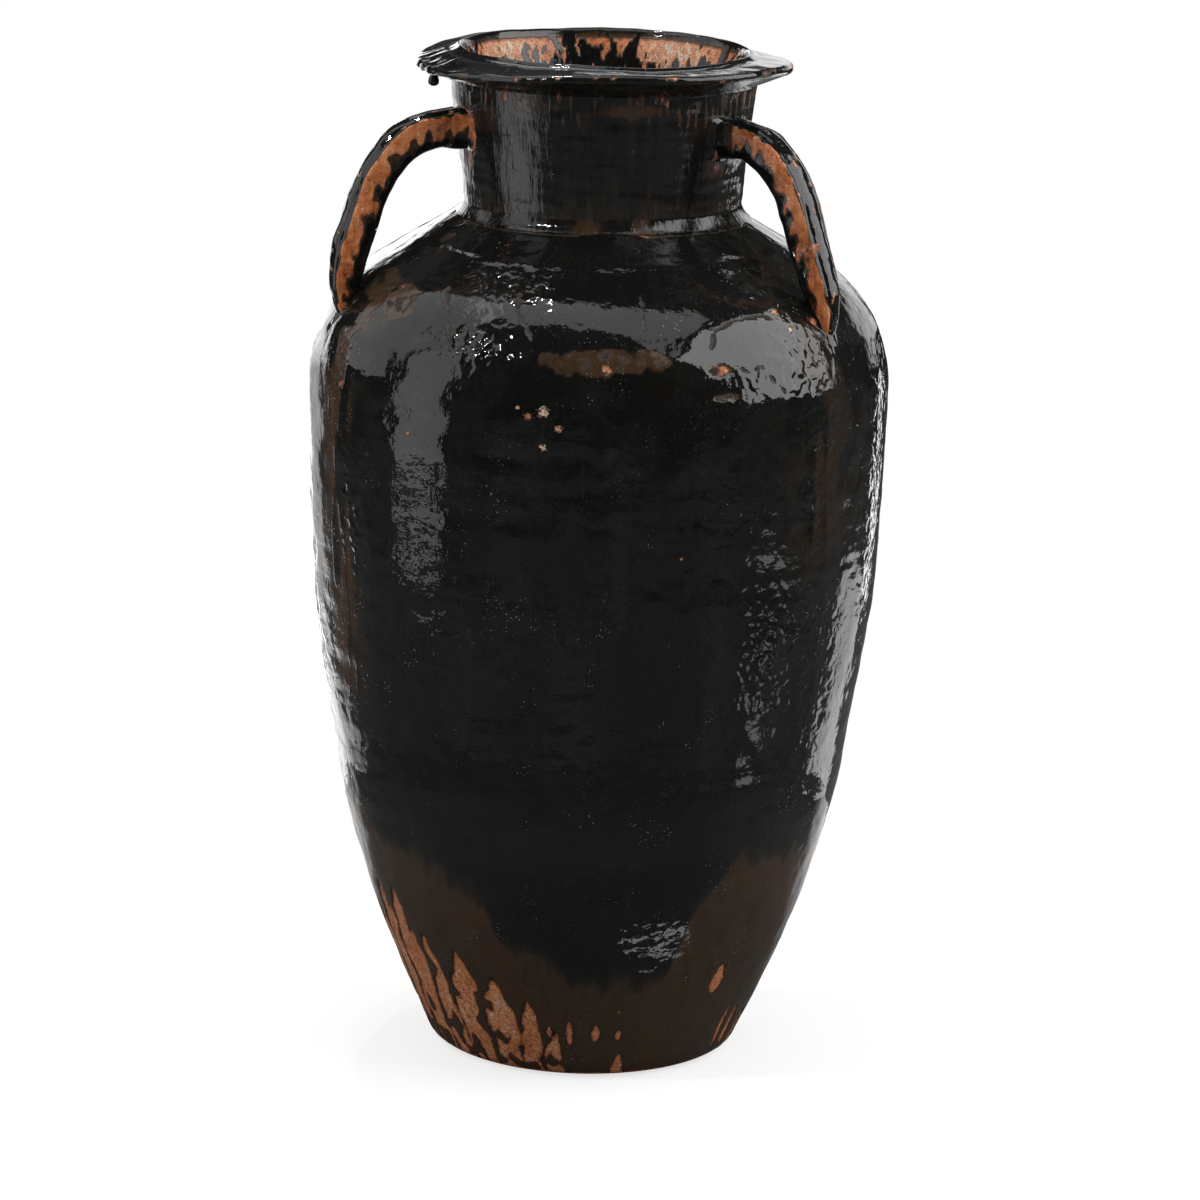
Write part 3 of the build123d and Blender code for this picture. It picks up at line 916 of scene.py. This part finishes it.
def glazed(name, colour_knobs=(), surface_knobs=(), chips=()):
    """Material of a glazed piece, from the glaze thickness stored on its mesh."""
    made = bpy.data.materials.new(name)
    tree = empty_tree(made)
    thick, crease, gap = (
        put(tree, "Attribute", attribute_name=key).outputs["Fac"]
        for key in ("glaze", "crease", "split")
    )
    ragged = grain(tree, put(tree, "TexCoord").outputs["Object"], 480.0, 3.0, 0.6)
    gap = plus(tree, ragged, split_frays, gap)
    parted = eased(tree, gap, split_edge, 0.0)
    if chips:
        thick = chipped(tree, thick, chips)
    knobs = {"Thickness": thick, **dict(colour_knobs)}
    colour = put(tree, "Group", knobs, node_tree=colours).outputs
    knobs = {"Cover": colour["Cover"], "Coat": colour["Coat"], "Crease": crease}
    knobs.update(surface_knobs)
    height = put(tree, "Group", knobs, node_tree=surface).outputs["Height"]
    bank = sums(tree, "MINIMUM", gap, split_edge)
    height = plus(tree, bank, split_fall, height)
    # painted shade: the colour goes near black where a split opens
    shade = mixed(tree, parted, colour["Colour"], split_painted_shade)
    dull = blend(tree, parted, colour["Roughness"], split_dull)
    bumped = put(tree, "Bump", {"Strength": 1.0, "Distance": 1.0, "Height": height})
    knobs = {"Base Color": shade, "Roughness": dull, "IOR": 1.5}
    shader = put(tree, "BsdfPrincipled", {**knobs, "Normal": bumped.outputs[0]})
    put(tree, "OutputMaterial", {"Surface": shader.outputs[0]})
    return made


def dress(piece, material, slot, *nodes):
    """Give a piece its material and its place in the model."""
    piece.data.materials.append(material)
    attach(piece, "root")
    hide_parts(*nodes)


foot_clay = glazed("foot_clay", {"Fray": 0.10, "Pits": 0.0})
slab_glaze = 0.1
slab_top = straight((wall_rows[slab_row, 0], base_thickness), (hub_radius, base_thickness))
slab_top = stretch_of(turned(paced(slab_top, slab_step), wall_columns)[1:], slab_glaze)
piece = skin("base_disc_foot", [wall_stretch(0, slab_row), slab_top], ring=False)
dress(piece, foot_clay, "foot_clay", "base_disc")


# Lower wall: the first course, thrown thick and drawn in to the foot. Thin brown glaze runs
# down over it between patches of bare rusty clay.
inside_step = 0.012  # between the rows of the wall's inside, which hardly show
inside_glaze = 0.8

# Chips in the glaze, all over the wall: angle, height, half size, thickness left at the core
wall_chips = [
    (-93.0, 0.5258, 0.0042, 0.0), (-95.9, 0.5224, 0.0030, 0.13), (-90.0, 0.5148, 0.0028, 0.04),
    (-92.8, 0.5002, 0.0030, 0.0), (-98.0, 0.5281, 0.0019, 0.0), (-72.0, 0.0600, 0.0020, 0.1),
    (-40.5, 0.5870, 0.0030, 0.05), (-38.6, 0.5760, 0.0023, 0.0),
    (-121.5, 0.5000, 0.0020, 0.1), (-66.0, 0.4200, 0.0016, 0.1), (150.0, 0.5100, 0.0040, 0.1),
    (48.0, 0.4300, 0.0036, 0.1), (104.0, 0.5600, 0.0042, 0.12), (12.0, 0.3600, 0.0030, 0.1),
]
glazed_wall = glazed("glazed_wall", {"Pits": 0.8}, chips=wall_chips)


def shell(name, first, last, inside):
    """Ring of the wall between two rows of its grid, with its plain glazed inside."""
    back = stretch_of(turned(inside, wall_columns), inside_glaze)
    return skin(name, [wall_stretch(first, last), back])


def course(name, first, last, low, high, step=inside_step):
    """Course of the wall between two rows, its inside between two heights."""
    return shell(name, first, last, paced(cut_line(inner_line, low, high), step)[::-1])


piece = course("lower_wall_glazed", slab_row, lower_row, base_thickness, lower_wall_top)
dress(piece, glazed_wall, "glazed_wall", "lower_wall")


# Middle wall: the second course, luted on and smoothed with the fingers, under thick black
# glaze. A faint hollow shows where it meets the course above.
piece = course("middle_wall_glazed", lower_row, middle_row, lower_wall_top, middle_wall_top)
dress(piece, glazed_wall, "glazed_wall", "middle_wall")


# Upper wall: the widest course, which turns in to the ridge of the shoulder, where the glaze
# has drawn thin and shows rusty clay.
rounder_step = 0.010
rows = (middle_row, shoulder_row)
piece = course("upper_wall_glazed", *rows, middle_wall_top, shoulder_seam, rounder_step)
dress(piece, glazed_wall, "glazed_wall", "upper_wall")


# Shoulder: a separately thrown dome with a hole for the neck, glossy and lumpy, with soft
# throwing rings under the glaze.
hole_step = 0.004
throat_foot = inner_line[-1, 1] + (inner_line[-1, 0] - throat_radius) * slope_rise
under = cut_line(inner_line, shoulder_seam, inner_line[-1, 1])[::-1]
inside = np.concatenate([
    paced(straight((throat_radius, neck_foot), (throat_radius, throat_foot)), hole_step)[:-1],
    paced(np.concatenate([[(throat_radius, throat_foot)], under]), rounder_step),
])
piece = shell("shoulder_glazed", shoulder_row, len(wall_rows) - 1, inside)
dress(piece, glazed_wall, "glazed_wall", "shoulder")


# Neck foot band: a coil of clay thumbed into the corner between neck and shoulder. Black
# glaze hangs over it in drips, and between them it is rusty.
neck_flare = 0.010
neck_height = 0.098
band_height = 0.0072
band_reach = 0.0086
band_bulge = -0.0009
band_rows = 34
collar_columns = 640
neck_top = neck_foot + neck_height
neck_top_radius = neck_foot_radius + neck_flare

# Black drips and rusty gaps on the band: angle, half width in degrees, glaze thickness
coil_blushes = [(-124, 3.2, 0.95), (-52, 3.0, 0.95), (-88, 6.0, 0.46), (-67, 4.0, 0.30)]


def neck_at(height):
    """Outer radius of the neck at a height."""
    return neck_foot_radius + (height - neck_foot) * neck_flare / neck_height


band_low = np.array([neck_foot_radius + band_reach, neck_foot - band_reach * slope_rise])
band_top = np.array([neck_at(neck_foot + band_height), neck_foot + band_height])
part = np.linspace(0, 1, band_rows)[:, None]
away = np.array([band_top[1] - band_low[1], band_low[0] - band_top[0]])
away /= np.linalg.norm(away)
bulge = band_bulge * 4 * (part - part**2) ** 0.75
coil = turned(band_low + part * (band_top - band_low) + bulge * away, collar_columns)
spin = polar(coil)[0]
swell = np.sin(pi * part) ** 0.5
drips = lumps(coil, 0.011, 21, (1, 1, 1.5))
relief = layers(coil, (0.0007, 0.020, 22, (1, 1, 0.7)), (0.0002, 0.006, 23))
coil += grid_normals(coil) * (relief * swell)[..., None]
coil_thick = 0.88 + 0.3 * drips
for angle, half, to in coil_blushes:
    coil_thick += (to - coil_thick) * bump(around(spin, angle), 0, half)
coil_thick = np.clip(coil_thick - 0.40 * ramp(part, 0.14, 0.0), 0.05, 1)
out_way = coil * (1, 1, 0) / np.hypot(coil[..., :1], coil[..., 1:2])
low_way = out_way * sin(shoulder_slope) + np.array([0, 0, cos(shoulder_slope)])
top_way = out_way - np.array([0, 0, neck_flare / neck_height])
coil_normals = 0.6 * swell[..., None] * grid_normals(coil)
coil_normals = coil_normals + low_way * (1 - part[..., None]) + top_way * part[..., None]
coil_normals /= np.linalg.norm(coil_normals, axis=-1, keepdims=True)
heart = np.array([band_top, (neck_foot_radius, neck_foot), band_low]) - 0.001
neck_surface = {"Waves": 1.0, "Rings": 0.3, "Runs": 1.7, "Peel": 1.5}
glazed_neck = glazed("glazed_neck", {"Fray": 0.14, "Streak": 0.34, "Sheen": 0.8}, neck_surface)
piece = skin("neck_foot_band_glazed", [
    (coil, coil_thick, coil_normals), stretch_of(turned(heart, collar_columns), 0.5),
])
dress(piece, glazed_neck, "glazed_neck", "neck_foot_band")


# Neck: a thrown collar, a little wider at its top, with a straight bore that a bung closes.
# Its glaze runs in upright streaks, rusty where it is thin and blue-black where it is thick.
rim_rise = 0.022
throat_flare_drop = 0.026
lip_overhang = 0.026
lip_thickness = 0.007
lip_fall = 0.004
crest_inset = 0.0055
crest_width = 0.005
crest_round = 0.003
rim_step = 0.0012
neck_step = 0.0015
throat_step = 0.0018
lip_radius = neck_top_radius + lip_overhang
crest_height = neck_top + rim_rise
crest_radius = neck_top_radius - crest_inset
lip_core = lip_radius - lip_thickness / 2
lip_top = crest_height - lip_fall
throat_flare = neck_top - throat_flare_drop
crest_inside = np.array([crest_radius - crest_width / 2, crest_height - crest_round])
flare_out = crest_inside - (throat_radius, throat_flare)
flare_round = flare_out @ flare_out / (2 * flare_out[0])
flare_middle = (throat_radius + flare_round, throat_flare)
flare = arc(flare_middle, flare_round, pi, angle_from(flare_middle, crest_inside))
flare_seam = int(np.searchsorted(flare[:, 1], neck_top))  # where the neck ends
bend = np.linspace(0, 1, 40)[:, None]
crest_outside = np.array([crest_radius + crest_width / 2, crest_height - crest_round / 2])
crest_top = np.array([crest_radius, crest_height + crest_round / 3])
crest = (1 - bend) ** 2 * crest_inside + 2 * bend * (1 - bend) * crest_top + bend**2 * crest_outside
lip_middle = (lip_core, lip_top - lip_thickness / 2)
roll = arc(lip_middle, lip_thickness / 2, -pi / 2, pi / 2)
rim_line = np.concatenate([
    straight((neck_top_radius, neck_top), roll[0])[:-1],
    roll,
    straight(roll[-1], crest_outside)[1:-1],
    crest[::-1],
    flare[flare_seam:-1][::-1],
])
rim_rows = paced(rim_line, rim_step)
neck_line = straight((neck_foot_radius, neck_foot), (neck_top_radius, neck_top))
neck_rows = paced(neck_line, neck_step)
bore = straight((throat_radius, throat_flare), (throat_radius, neck_foot))
throat_rows = paced(np.concatenate([flare[: flare_seam + 1][::-1], bore[1:]]), throat_step)
collar_rows = np.concatenate([neck_rows[:-1], rim_rows, throat_rows[1:]])
collar = turned(collar_rows, collar_columns)
neck_end = len(neck_rows) - 1
rim_end = neck_end + len(rim_rows) - 1

# How far the lip has drooped in the fire: angle round the jar and rise of its edge
droop = np.array([
    (-180, -0.0045), (-165, -0.0065), (-151, -0.0078), (-141, -0.0076), (-120, -0.0048),
    (-96, -0.0023), (-84, -0.0011), (-69, -0.0005), (-21, -0.0022), (30, -0.0062), (60, -0.0058),
    (97, 0.0004), (140, 0.0010), (165, -0.0015), (180, -0.0045),
])


def collar_shape(points):
    """The neck and rim as thrown and fired: uneven, and the lip drooped on one side."""
    spin, radius, height = polar(points)
    outer = ramp(radius, crest_radius, lip_radius)
    rise = ramp(height, neck_top - 0.02, crest_height)
    tilt = (0.0022 * np.cos(np.radians(spin - 125)) - 0.001) * rise
    lift = tilt * (1 - outer) + np.interp(spin, *droop.T) * outer
    on_rim = height > neck_top + 0.011
    lift += on_rim * 0.0013 * bump(radius, crest_radius, 0.0027)
    lift -= on_rim * 0.0005 * bump(radius, crest_radius + 0.0068, 0.0026)
    lift += 0.0008 * lumps(points, 0.060, 34, (1, 1, 9)) * rise
    wave = layers(points, (0.0011, 0.060, 31), (0.0004, 0.018, 32), (0.00025, 0.006, 35, (6, 6, 1)))
    wave += 0.0003 * lumps(points, 0.016, 33) * outer
    folded = bump(around(spin, -157), 0, 15) * outer
    wave += folded * (0.0012 * lumps(points, 0.010, 41, (1.6, 0.8, 1)) - 0.0004)
    return points + lift[..., None] * (0, 0, 1) + grid_normals(points) * wave[..., None]


def collar_glaze(points):
    """Glaze thickness over neck, rim and throat."""
    spin, radius, height = polar(points)
    runs = lumps(points, 0.0055, 36, (1, 1, 9))
    blots = lumps(points, 0.016, 37)
    thick = 0.97 + 0.24 * runs + 0.14 * blots
    under_lip = ramp(height, neck_top - 0.040, neck_top - 0.004) * (height < neck_top + 0.003)
    rusty = ramp(lumps(points, 0.0036, 40, (1, 1, 9)) + 0.5 * blots, 0.22, 0.44)
    thick -= 0.74 * rusty * under_lip
    lip = ramp(radius, lip_radius - 0.004, lip_radius) * (height > neck_top)
    thick -= 0.8 * lip * ramp(lumps(points, 0.008, 38) + 0.5 * blots, 0.22, 0.40)
    throat = ramp(radius, crest_radius - 0.001, crest_radius - 0.005)
    # At two angles round the throat the glaze is thinned to pale clay: partly the real rust there,
    # partly a painted highlight, the throat's sheen put in as paler colour
    pale = np.maximum(np.cos(np.radians(spin - 62)), np.cos(np.radians(spin - 145))) ** 8
    fall = (crest_height - height) / 0.034 + 0.9 * lumps(points, 0.0046, 39, (1, 1, 5))
    fall += 0.5 * blots + 0.20 - 0.62 * pale + 0.45 * lumps(points, 0.0027, 42, (1, 1, 2.5))
    band = 0.15 - 0.12 * pale + 0.8 * ramp(fall, 0.30, 0.50)
    thick += (np.where(height > neck_top - 0.03, band, 0.6) - thick) * throat
    for *place, to in neck_blushes:
        near = np.exp(-(off_spot(points, *place) ** 3))
        thick += (to - thick) * near * (radius < neck_top_radius + 0.002)
    return np.clip(thick, 0.02, 1)


# Rusty or black places on the neck: angle, height, half width, half height, glaze thickness
neck_blushes = [
    (-145.6, 0.703, 0.010, 0.022, 0.15), (-147.5, 0.680, 0.005, 0.016, 0.16),
    (-34.0, 0.700, 0.008, 0.016, 0.16), (-31.0, 0.682, 0.012, 0.009, 0.20),
    (-110.0, 0.728, 0.020, 0.006, 0.35), (-72.0, 0.726, 0.030, 0.006, 0.38),
    (96.0, 0.700, 0.034, 0.012, 0.18), (84.0, 0.690, 0.020, 0.016, 0.2),
]

collar_thick = collar_glaze(collar)
collar_grid = collar_shape(collar)
collar_normals = grid_normals(collar_grid)


def collar_part(first, last):
    """One stretch of the collar's rows, as skin takes it."""
    rows = slice(first, last + 1)
    return collar_grid[rows], collar_thick[rows], collar_normals[rows]


piece = skin("neck_glazed", [collar_part(0, neck_end), collar_part(rim_end, len(collar_rows) - 1)])
dress(piece, glazed_neck, "glazed_neck", "neck")


# Rim: the top of the neck folded out to a broad flat lip with a rolled edge, for tying down
# a cover. The glaze has left its edge rusty here and there.
rim_surface = {"Waves": 1.0, "Runs": 0.0, "Peel": 1.0}
glazed_rim = glazed("glazed_rim", {"Fray": 0.14, "Streak": 0.06, "Sheen": 0.6}, rim_surface)
piece = skin("rim_glazed", [collar_part(neck_end, rim_end)])
dress(piece, glazed_rim, "glazed_rim", "rim")


# Handles: three straps, pulled from a lump of clay and bent from the neck down on to the
# shoulder. Black glaze covers the ridge and runs down their rusty sides.
handles = {"handle_right": -27, "handle_back": 90, "handle_left": 207}
strap_rows = 170
strap_columns = 128
bows = {"handle_right": -0.0055, "handle_back": 0.0, "handle_left": 0.0025}  # outwards
black_roots = {"handle_right": 0.14, "handle_back": 0.06, "handle_left": 0.0}  # share of length

# Share of the strap's length, and its width there in millimetres
strap_widths = np.array([(0, 36), (0.12, 31), (0.5, 28), (0.78, 25), (0.93, 15), (1, 7)])

# The strap's middle line, in millimetres: radius, height, thickness
strap_route = [
    (100, 702.5, 31), (114.5, 702.5, 30), (130, 702, 26), (143, 698.5, 27), (155.7, 690.8, 26.6),
    (166.5, 678, 25.8), (174, 666, 26), (180, 650.5, 25), (185.5, 633.5, 25.6), (191.5, 616, 26),
    (196.3, 598, 24), (199.5, 580, 17), (197, 563, 10),
]
route = np.array(strap_route) / 1000
for _ in range(3):
    between = (route[:-1] * 0.75 + route[1:] * 0.25, route[:-1] * 0.25 + route[1:] * 0.75)
    inner = np.stack(between, 1).reshape(-1, 3)[1:-1]
    route = np.concatenate([route[:1], inner, route[-1:]])
route_length = lengths_along(route)
places = np.linspace(0, route_length[-1], strap_rows)
route = np.stack([np.interp(places, route_length, route[:, k]) for k in range(3)], 1)
route_way = directions(route)
route_up = np.stack([-route_way[:, 1], route_way[:, 0]], 1)
share = np.linspace(0, 1, strap_rows)
half_wide = np.interp(share, *strap_widths.T) / 2000
half_tall = route[:, 2] / 2
turn = np.linspace(0, 2 * pi, strap_columns, endpoint=False)
square = np.where(np.sin(turn) > 0, 0.50, 0.64)
square = square + np.interp(share, [0, 0.8, 1], [0.0, 0.04, 0.30])[:, None]
aside = np.sign(np.cos(turn)) * np.abs(np.cos(turn)) ** square
above = np.sign(np.sin(turn)) * np.abs(np.sin(turn)) ** square


def strap_fold(rise, place, half, floor):
    """Ridge along both sides of the strap, at a place and with a half width in shares of half
    the strap's width, where the strap is above a floor."""
    return rise * bump(np.abs(aside), place, half) * (above > floor)


started = ramp(share, 0.03, 0.14)[:, None]
ridge = strap_fold(0.0014, 0, 0.42, 0) * started + strap_fold(0.0009, 0.90, 0.10, 0.3)
ridge *= ramp(share, 0.97, 0.80)[:, None]
groove = strap_fold(0.0012, 0.66, 0.16, 0.3) * started
raised = half_tall[:, None] * above + ridge - groove
sided = half_wide[:, None] * aside * (1 - 0.10 * np.clip(-above, 0, 1))
strap_out = route[:, :1] + raised * route_up[:, :1]
strap_high = route[:, 1:2] + raised * route_up[:, 1:2]
strap_plain = np.stack([strap_out, -sided, strap_high], -1)
handle_knobs = {"Fray": 0.14, "Streak": 0.10, "Grit": 0.45, "Sheen": 1.0}
glazed_handle = glazed("glazed_handle", handle_knobs, {"Waves": 1.3, "Peel": 1.4})


def spun(points, angle):
    """Points turned round the jar's axis."""
    c, s = cos(radians(angle)), sin(radians(angle))
    return points @ np.array([[c, s, 0], [-s, c, 0], [0, 0, 1]])


for seed, (name, angle) in enumerate(handles.items(), start=51):
    wave = layers(strap_plain, (0.0011, 0.024, seed), (0.0005, 0.009, seed + 10),
                  (0.0005, 0.008, seed + 20, (3, 1, 3)))
    wave *= (ramp(share, 0.02, 0.1) * ramp(share, 1.0, 0.95))[:, None]
    grid = strap_plain + grid_normals(strap_plain) * wave[..., None]
    grid[..., 0] += (bows[name] * ramp(share, 0.06, 0.34) * ramp(share, 0.97, 0.66))[:, None]
    drips = lumps(strap_plain, 0.0046, seed + 30, (1.3, 1, 3.2))
    flecks = layers(strap_plain, (1, 0.0065, seed + 40), (0.5, 0.003, seed + 45))
    edge = -0.18 + 0.70 * drips + 0.26 * lumps(strap_plain, 0.03, seed + 60)
    low_side = ramp(-above, -edge - 0.20, -edge + 0.34)
    on_top = ramp(above + 0.16 * drips, 0.76, 0.86)
    thick = 0.14 + 0.80 * low_side + 0.80 * on_top
    thick -= 0.80 * ramp(flecks, 0.52, 0.66) * on_top
    thick += 0.08 * lumps(strap_plain, 0.02, seed + 50)
    thick += 0.6 * ramp(share, black_roots[name], black_roots[name] - 0.08)[:, None]
    grid = spun(grid, angle)
    piece = skin(name + "_strap", [stretch_of(grid, np.clip(thick, 0.02, 1))], ring=False)
    dress(piece, glazed_handle, "glazed_handle", name)


# Pads: wads of clay pressed round each strap's root on the neck, and smeared round its tip on
# the shoulder, to lute it on. The glaze is thin over them and they look rusty.
pad_columns = 96
pad_sink = 0.004
upper_rust = {"handle_right": -0.30, "handle_back": -0.10, "handle_left": 0.10}
root_height = neck_foot + 0.063
tip_height = 0.577
root_stands = 0.0042
tip_stands = 0.0032
tip_rust = -0.50
pad_corners = 9  # the higher, the sharper its corners
pad_dome = 2.6  # the higher, the flatter its top
pad_edge_sink = 0.0006
pad_skirt = np.linspace(0.05, 0.97, 6)  # its rings inside the jar, from its middle outwards
pad_rings = np.linspace(1, 0.03, 40)  # from its edge to its middle, over its top

# Corners of the pads, aside and up
upper_pad = np.array([
    (-0.0245, -0.017), (0.0245, -0.017), (0.0265, 0.002), (0.023, 0.0165), (-0.023, 0.0165),
    (-0.0265, 0.002),
])
lower_pad = np.array([
    (-0.003, -0.026), (0.003, -0.026), (0.0185, 0.006), (0.012, 0.0165), (-0.012, 0.0165),
    (-0.0185, 0.006),
])
carrier = np.concatenate([wall_line, neck_line[1:]])
carrier_place = lengths_along(carrier)
carrier_way = directions(carrier)


def on_jar(angle, place, aside, rise):
    """Point on the jar: an angle, a place along its outline, an offset to the side, and how far
    it stands out."""
    radius, height = (np.interp(place, carrier_place, carrier[:, k]) for k in (0, 1))
    up, back = (np.interp(place, carrier_place, carrier_way[:, k]) for k in (1, 0))
    spin = radians(angle) + aside / radius
    out = radius + rise * up
    return np.stack([out * np.cos(spin), out * np.sin(spin), height - rise * back], -1)


def pad(name, angle, height, corners, proud, rusty, seed):
    """Wad of clay on the jar, with a soft edge that follows its corners."""
    turn = np.linspace(0, 2 * pi, pad_columns, endpoint=False)
    way = np.stack([np.cos(turn), np.sin(turn)], -1)
    side = np.roll(corners, -1, axis=0) - corners
    out = np.stack([side[:, 1], -side[:, 0]], -1)
    out /= np.linalg.norm(out, axis=1, keepdims=True)
    nearness = np.maximum(way @ out.T / (corners * out).sum(axis=1), 1e-6)
    reach = 1 / (nearness**pad_corners).sum(axis=1) ** (1 / pad_corners)
    rings = np.r_[pad_skirt, pad_rings]
    top = proud * (1 - pad_rings**pad_dome) - pad_edge_sink
    grow = np.r_[np.full(len(pad_skirt), -pad_sink), top]
    spread = rings[:, None] * reach * (1 + 0.06 * np.sin(3 * turn + seed))
    middle = np.interp(height, carrier[:, 1], carrier_place)
    place = middle + spread * np.sin(turn)
    aside = spread * np.cos(turn)
    rise = np.broadcast_to(grow[:, None], spread.shape)
    plain = on_jar(angle, place, aside, rise)
    rough = layers(plain, (0.0011, 0.011, seed), (0.0004, 0.0045, seed + 10))
    grid = on_jar(angle, place, aside, rise + rough * (rise > 0))
    thick = 0.17 + 0.7 * ramp(lumps(plain, 0.008, seed + 20, (1, 1, 2)), rusty, rusty + 0.25)
    piece = skin(name, [stretch_of(grid, np.clip(thick, 0.02, 1))], ring=False)
    dress(piece, glazed_handle, "glazed_handle", name.removesuffix("_wad"))


for seed, (name, angle) in enumerate(handles.items(), start=70):
    pad(name + "_upper_pad_wad", angle, root_height, upper_pad, root_stands, upper_rust[name], seed)
    pad(name + "_lower_pad_wad", angle, tip_height, lower_pad, tip_stands, tip_rust, seed + 5)


# Glaze drip: a bead of glaze that ran off the lip and froze under its lowest place.
drip_angle = 209
drip_inset = 0.005
drip_line = np.array([
    (0.0006, 0.7340), (0.0022, 0.7344), (0.0035, 0.7357), (0.0040, 0.7378), (0.0036, 0.7400),
    (0.0028, 0.7424), (0.0025, 0.7450), (0.0030, 0.7475), (0.0012, 0.7480),
])
drip_step = 0.0004
drip_columns = 48
bead = turned(paced(drip_line, drip_step), drip_columns)
bead += grid_normals(bead) * (0.0004 * lumps(bead, 0.006, 91))[..., None]
bead += spun(np.array([lip_radius - drip_inset, 0, 0]), drip_angle)
run_glaze = glazed("run_glaze", {"Fray": 0.05, "Pits": 0.0}, {"Waves": 0.5, "Peel": 0.5})
piece = skin("rim_glaze_drip_bead", [stretch_of(bead, 0.9)], ring=False)
dress(piece, run_glaze, "run_glaze", "rim_glaze_drip")
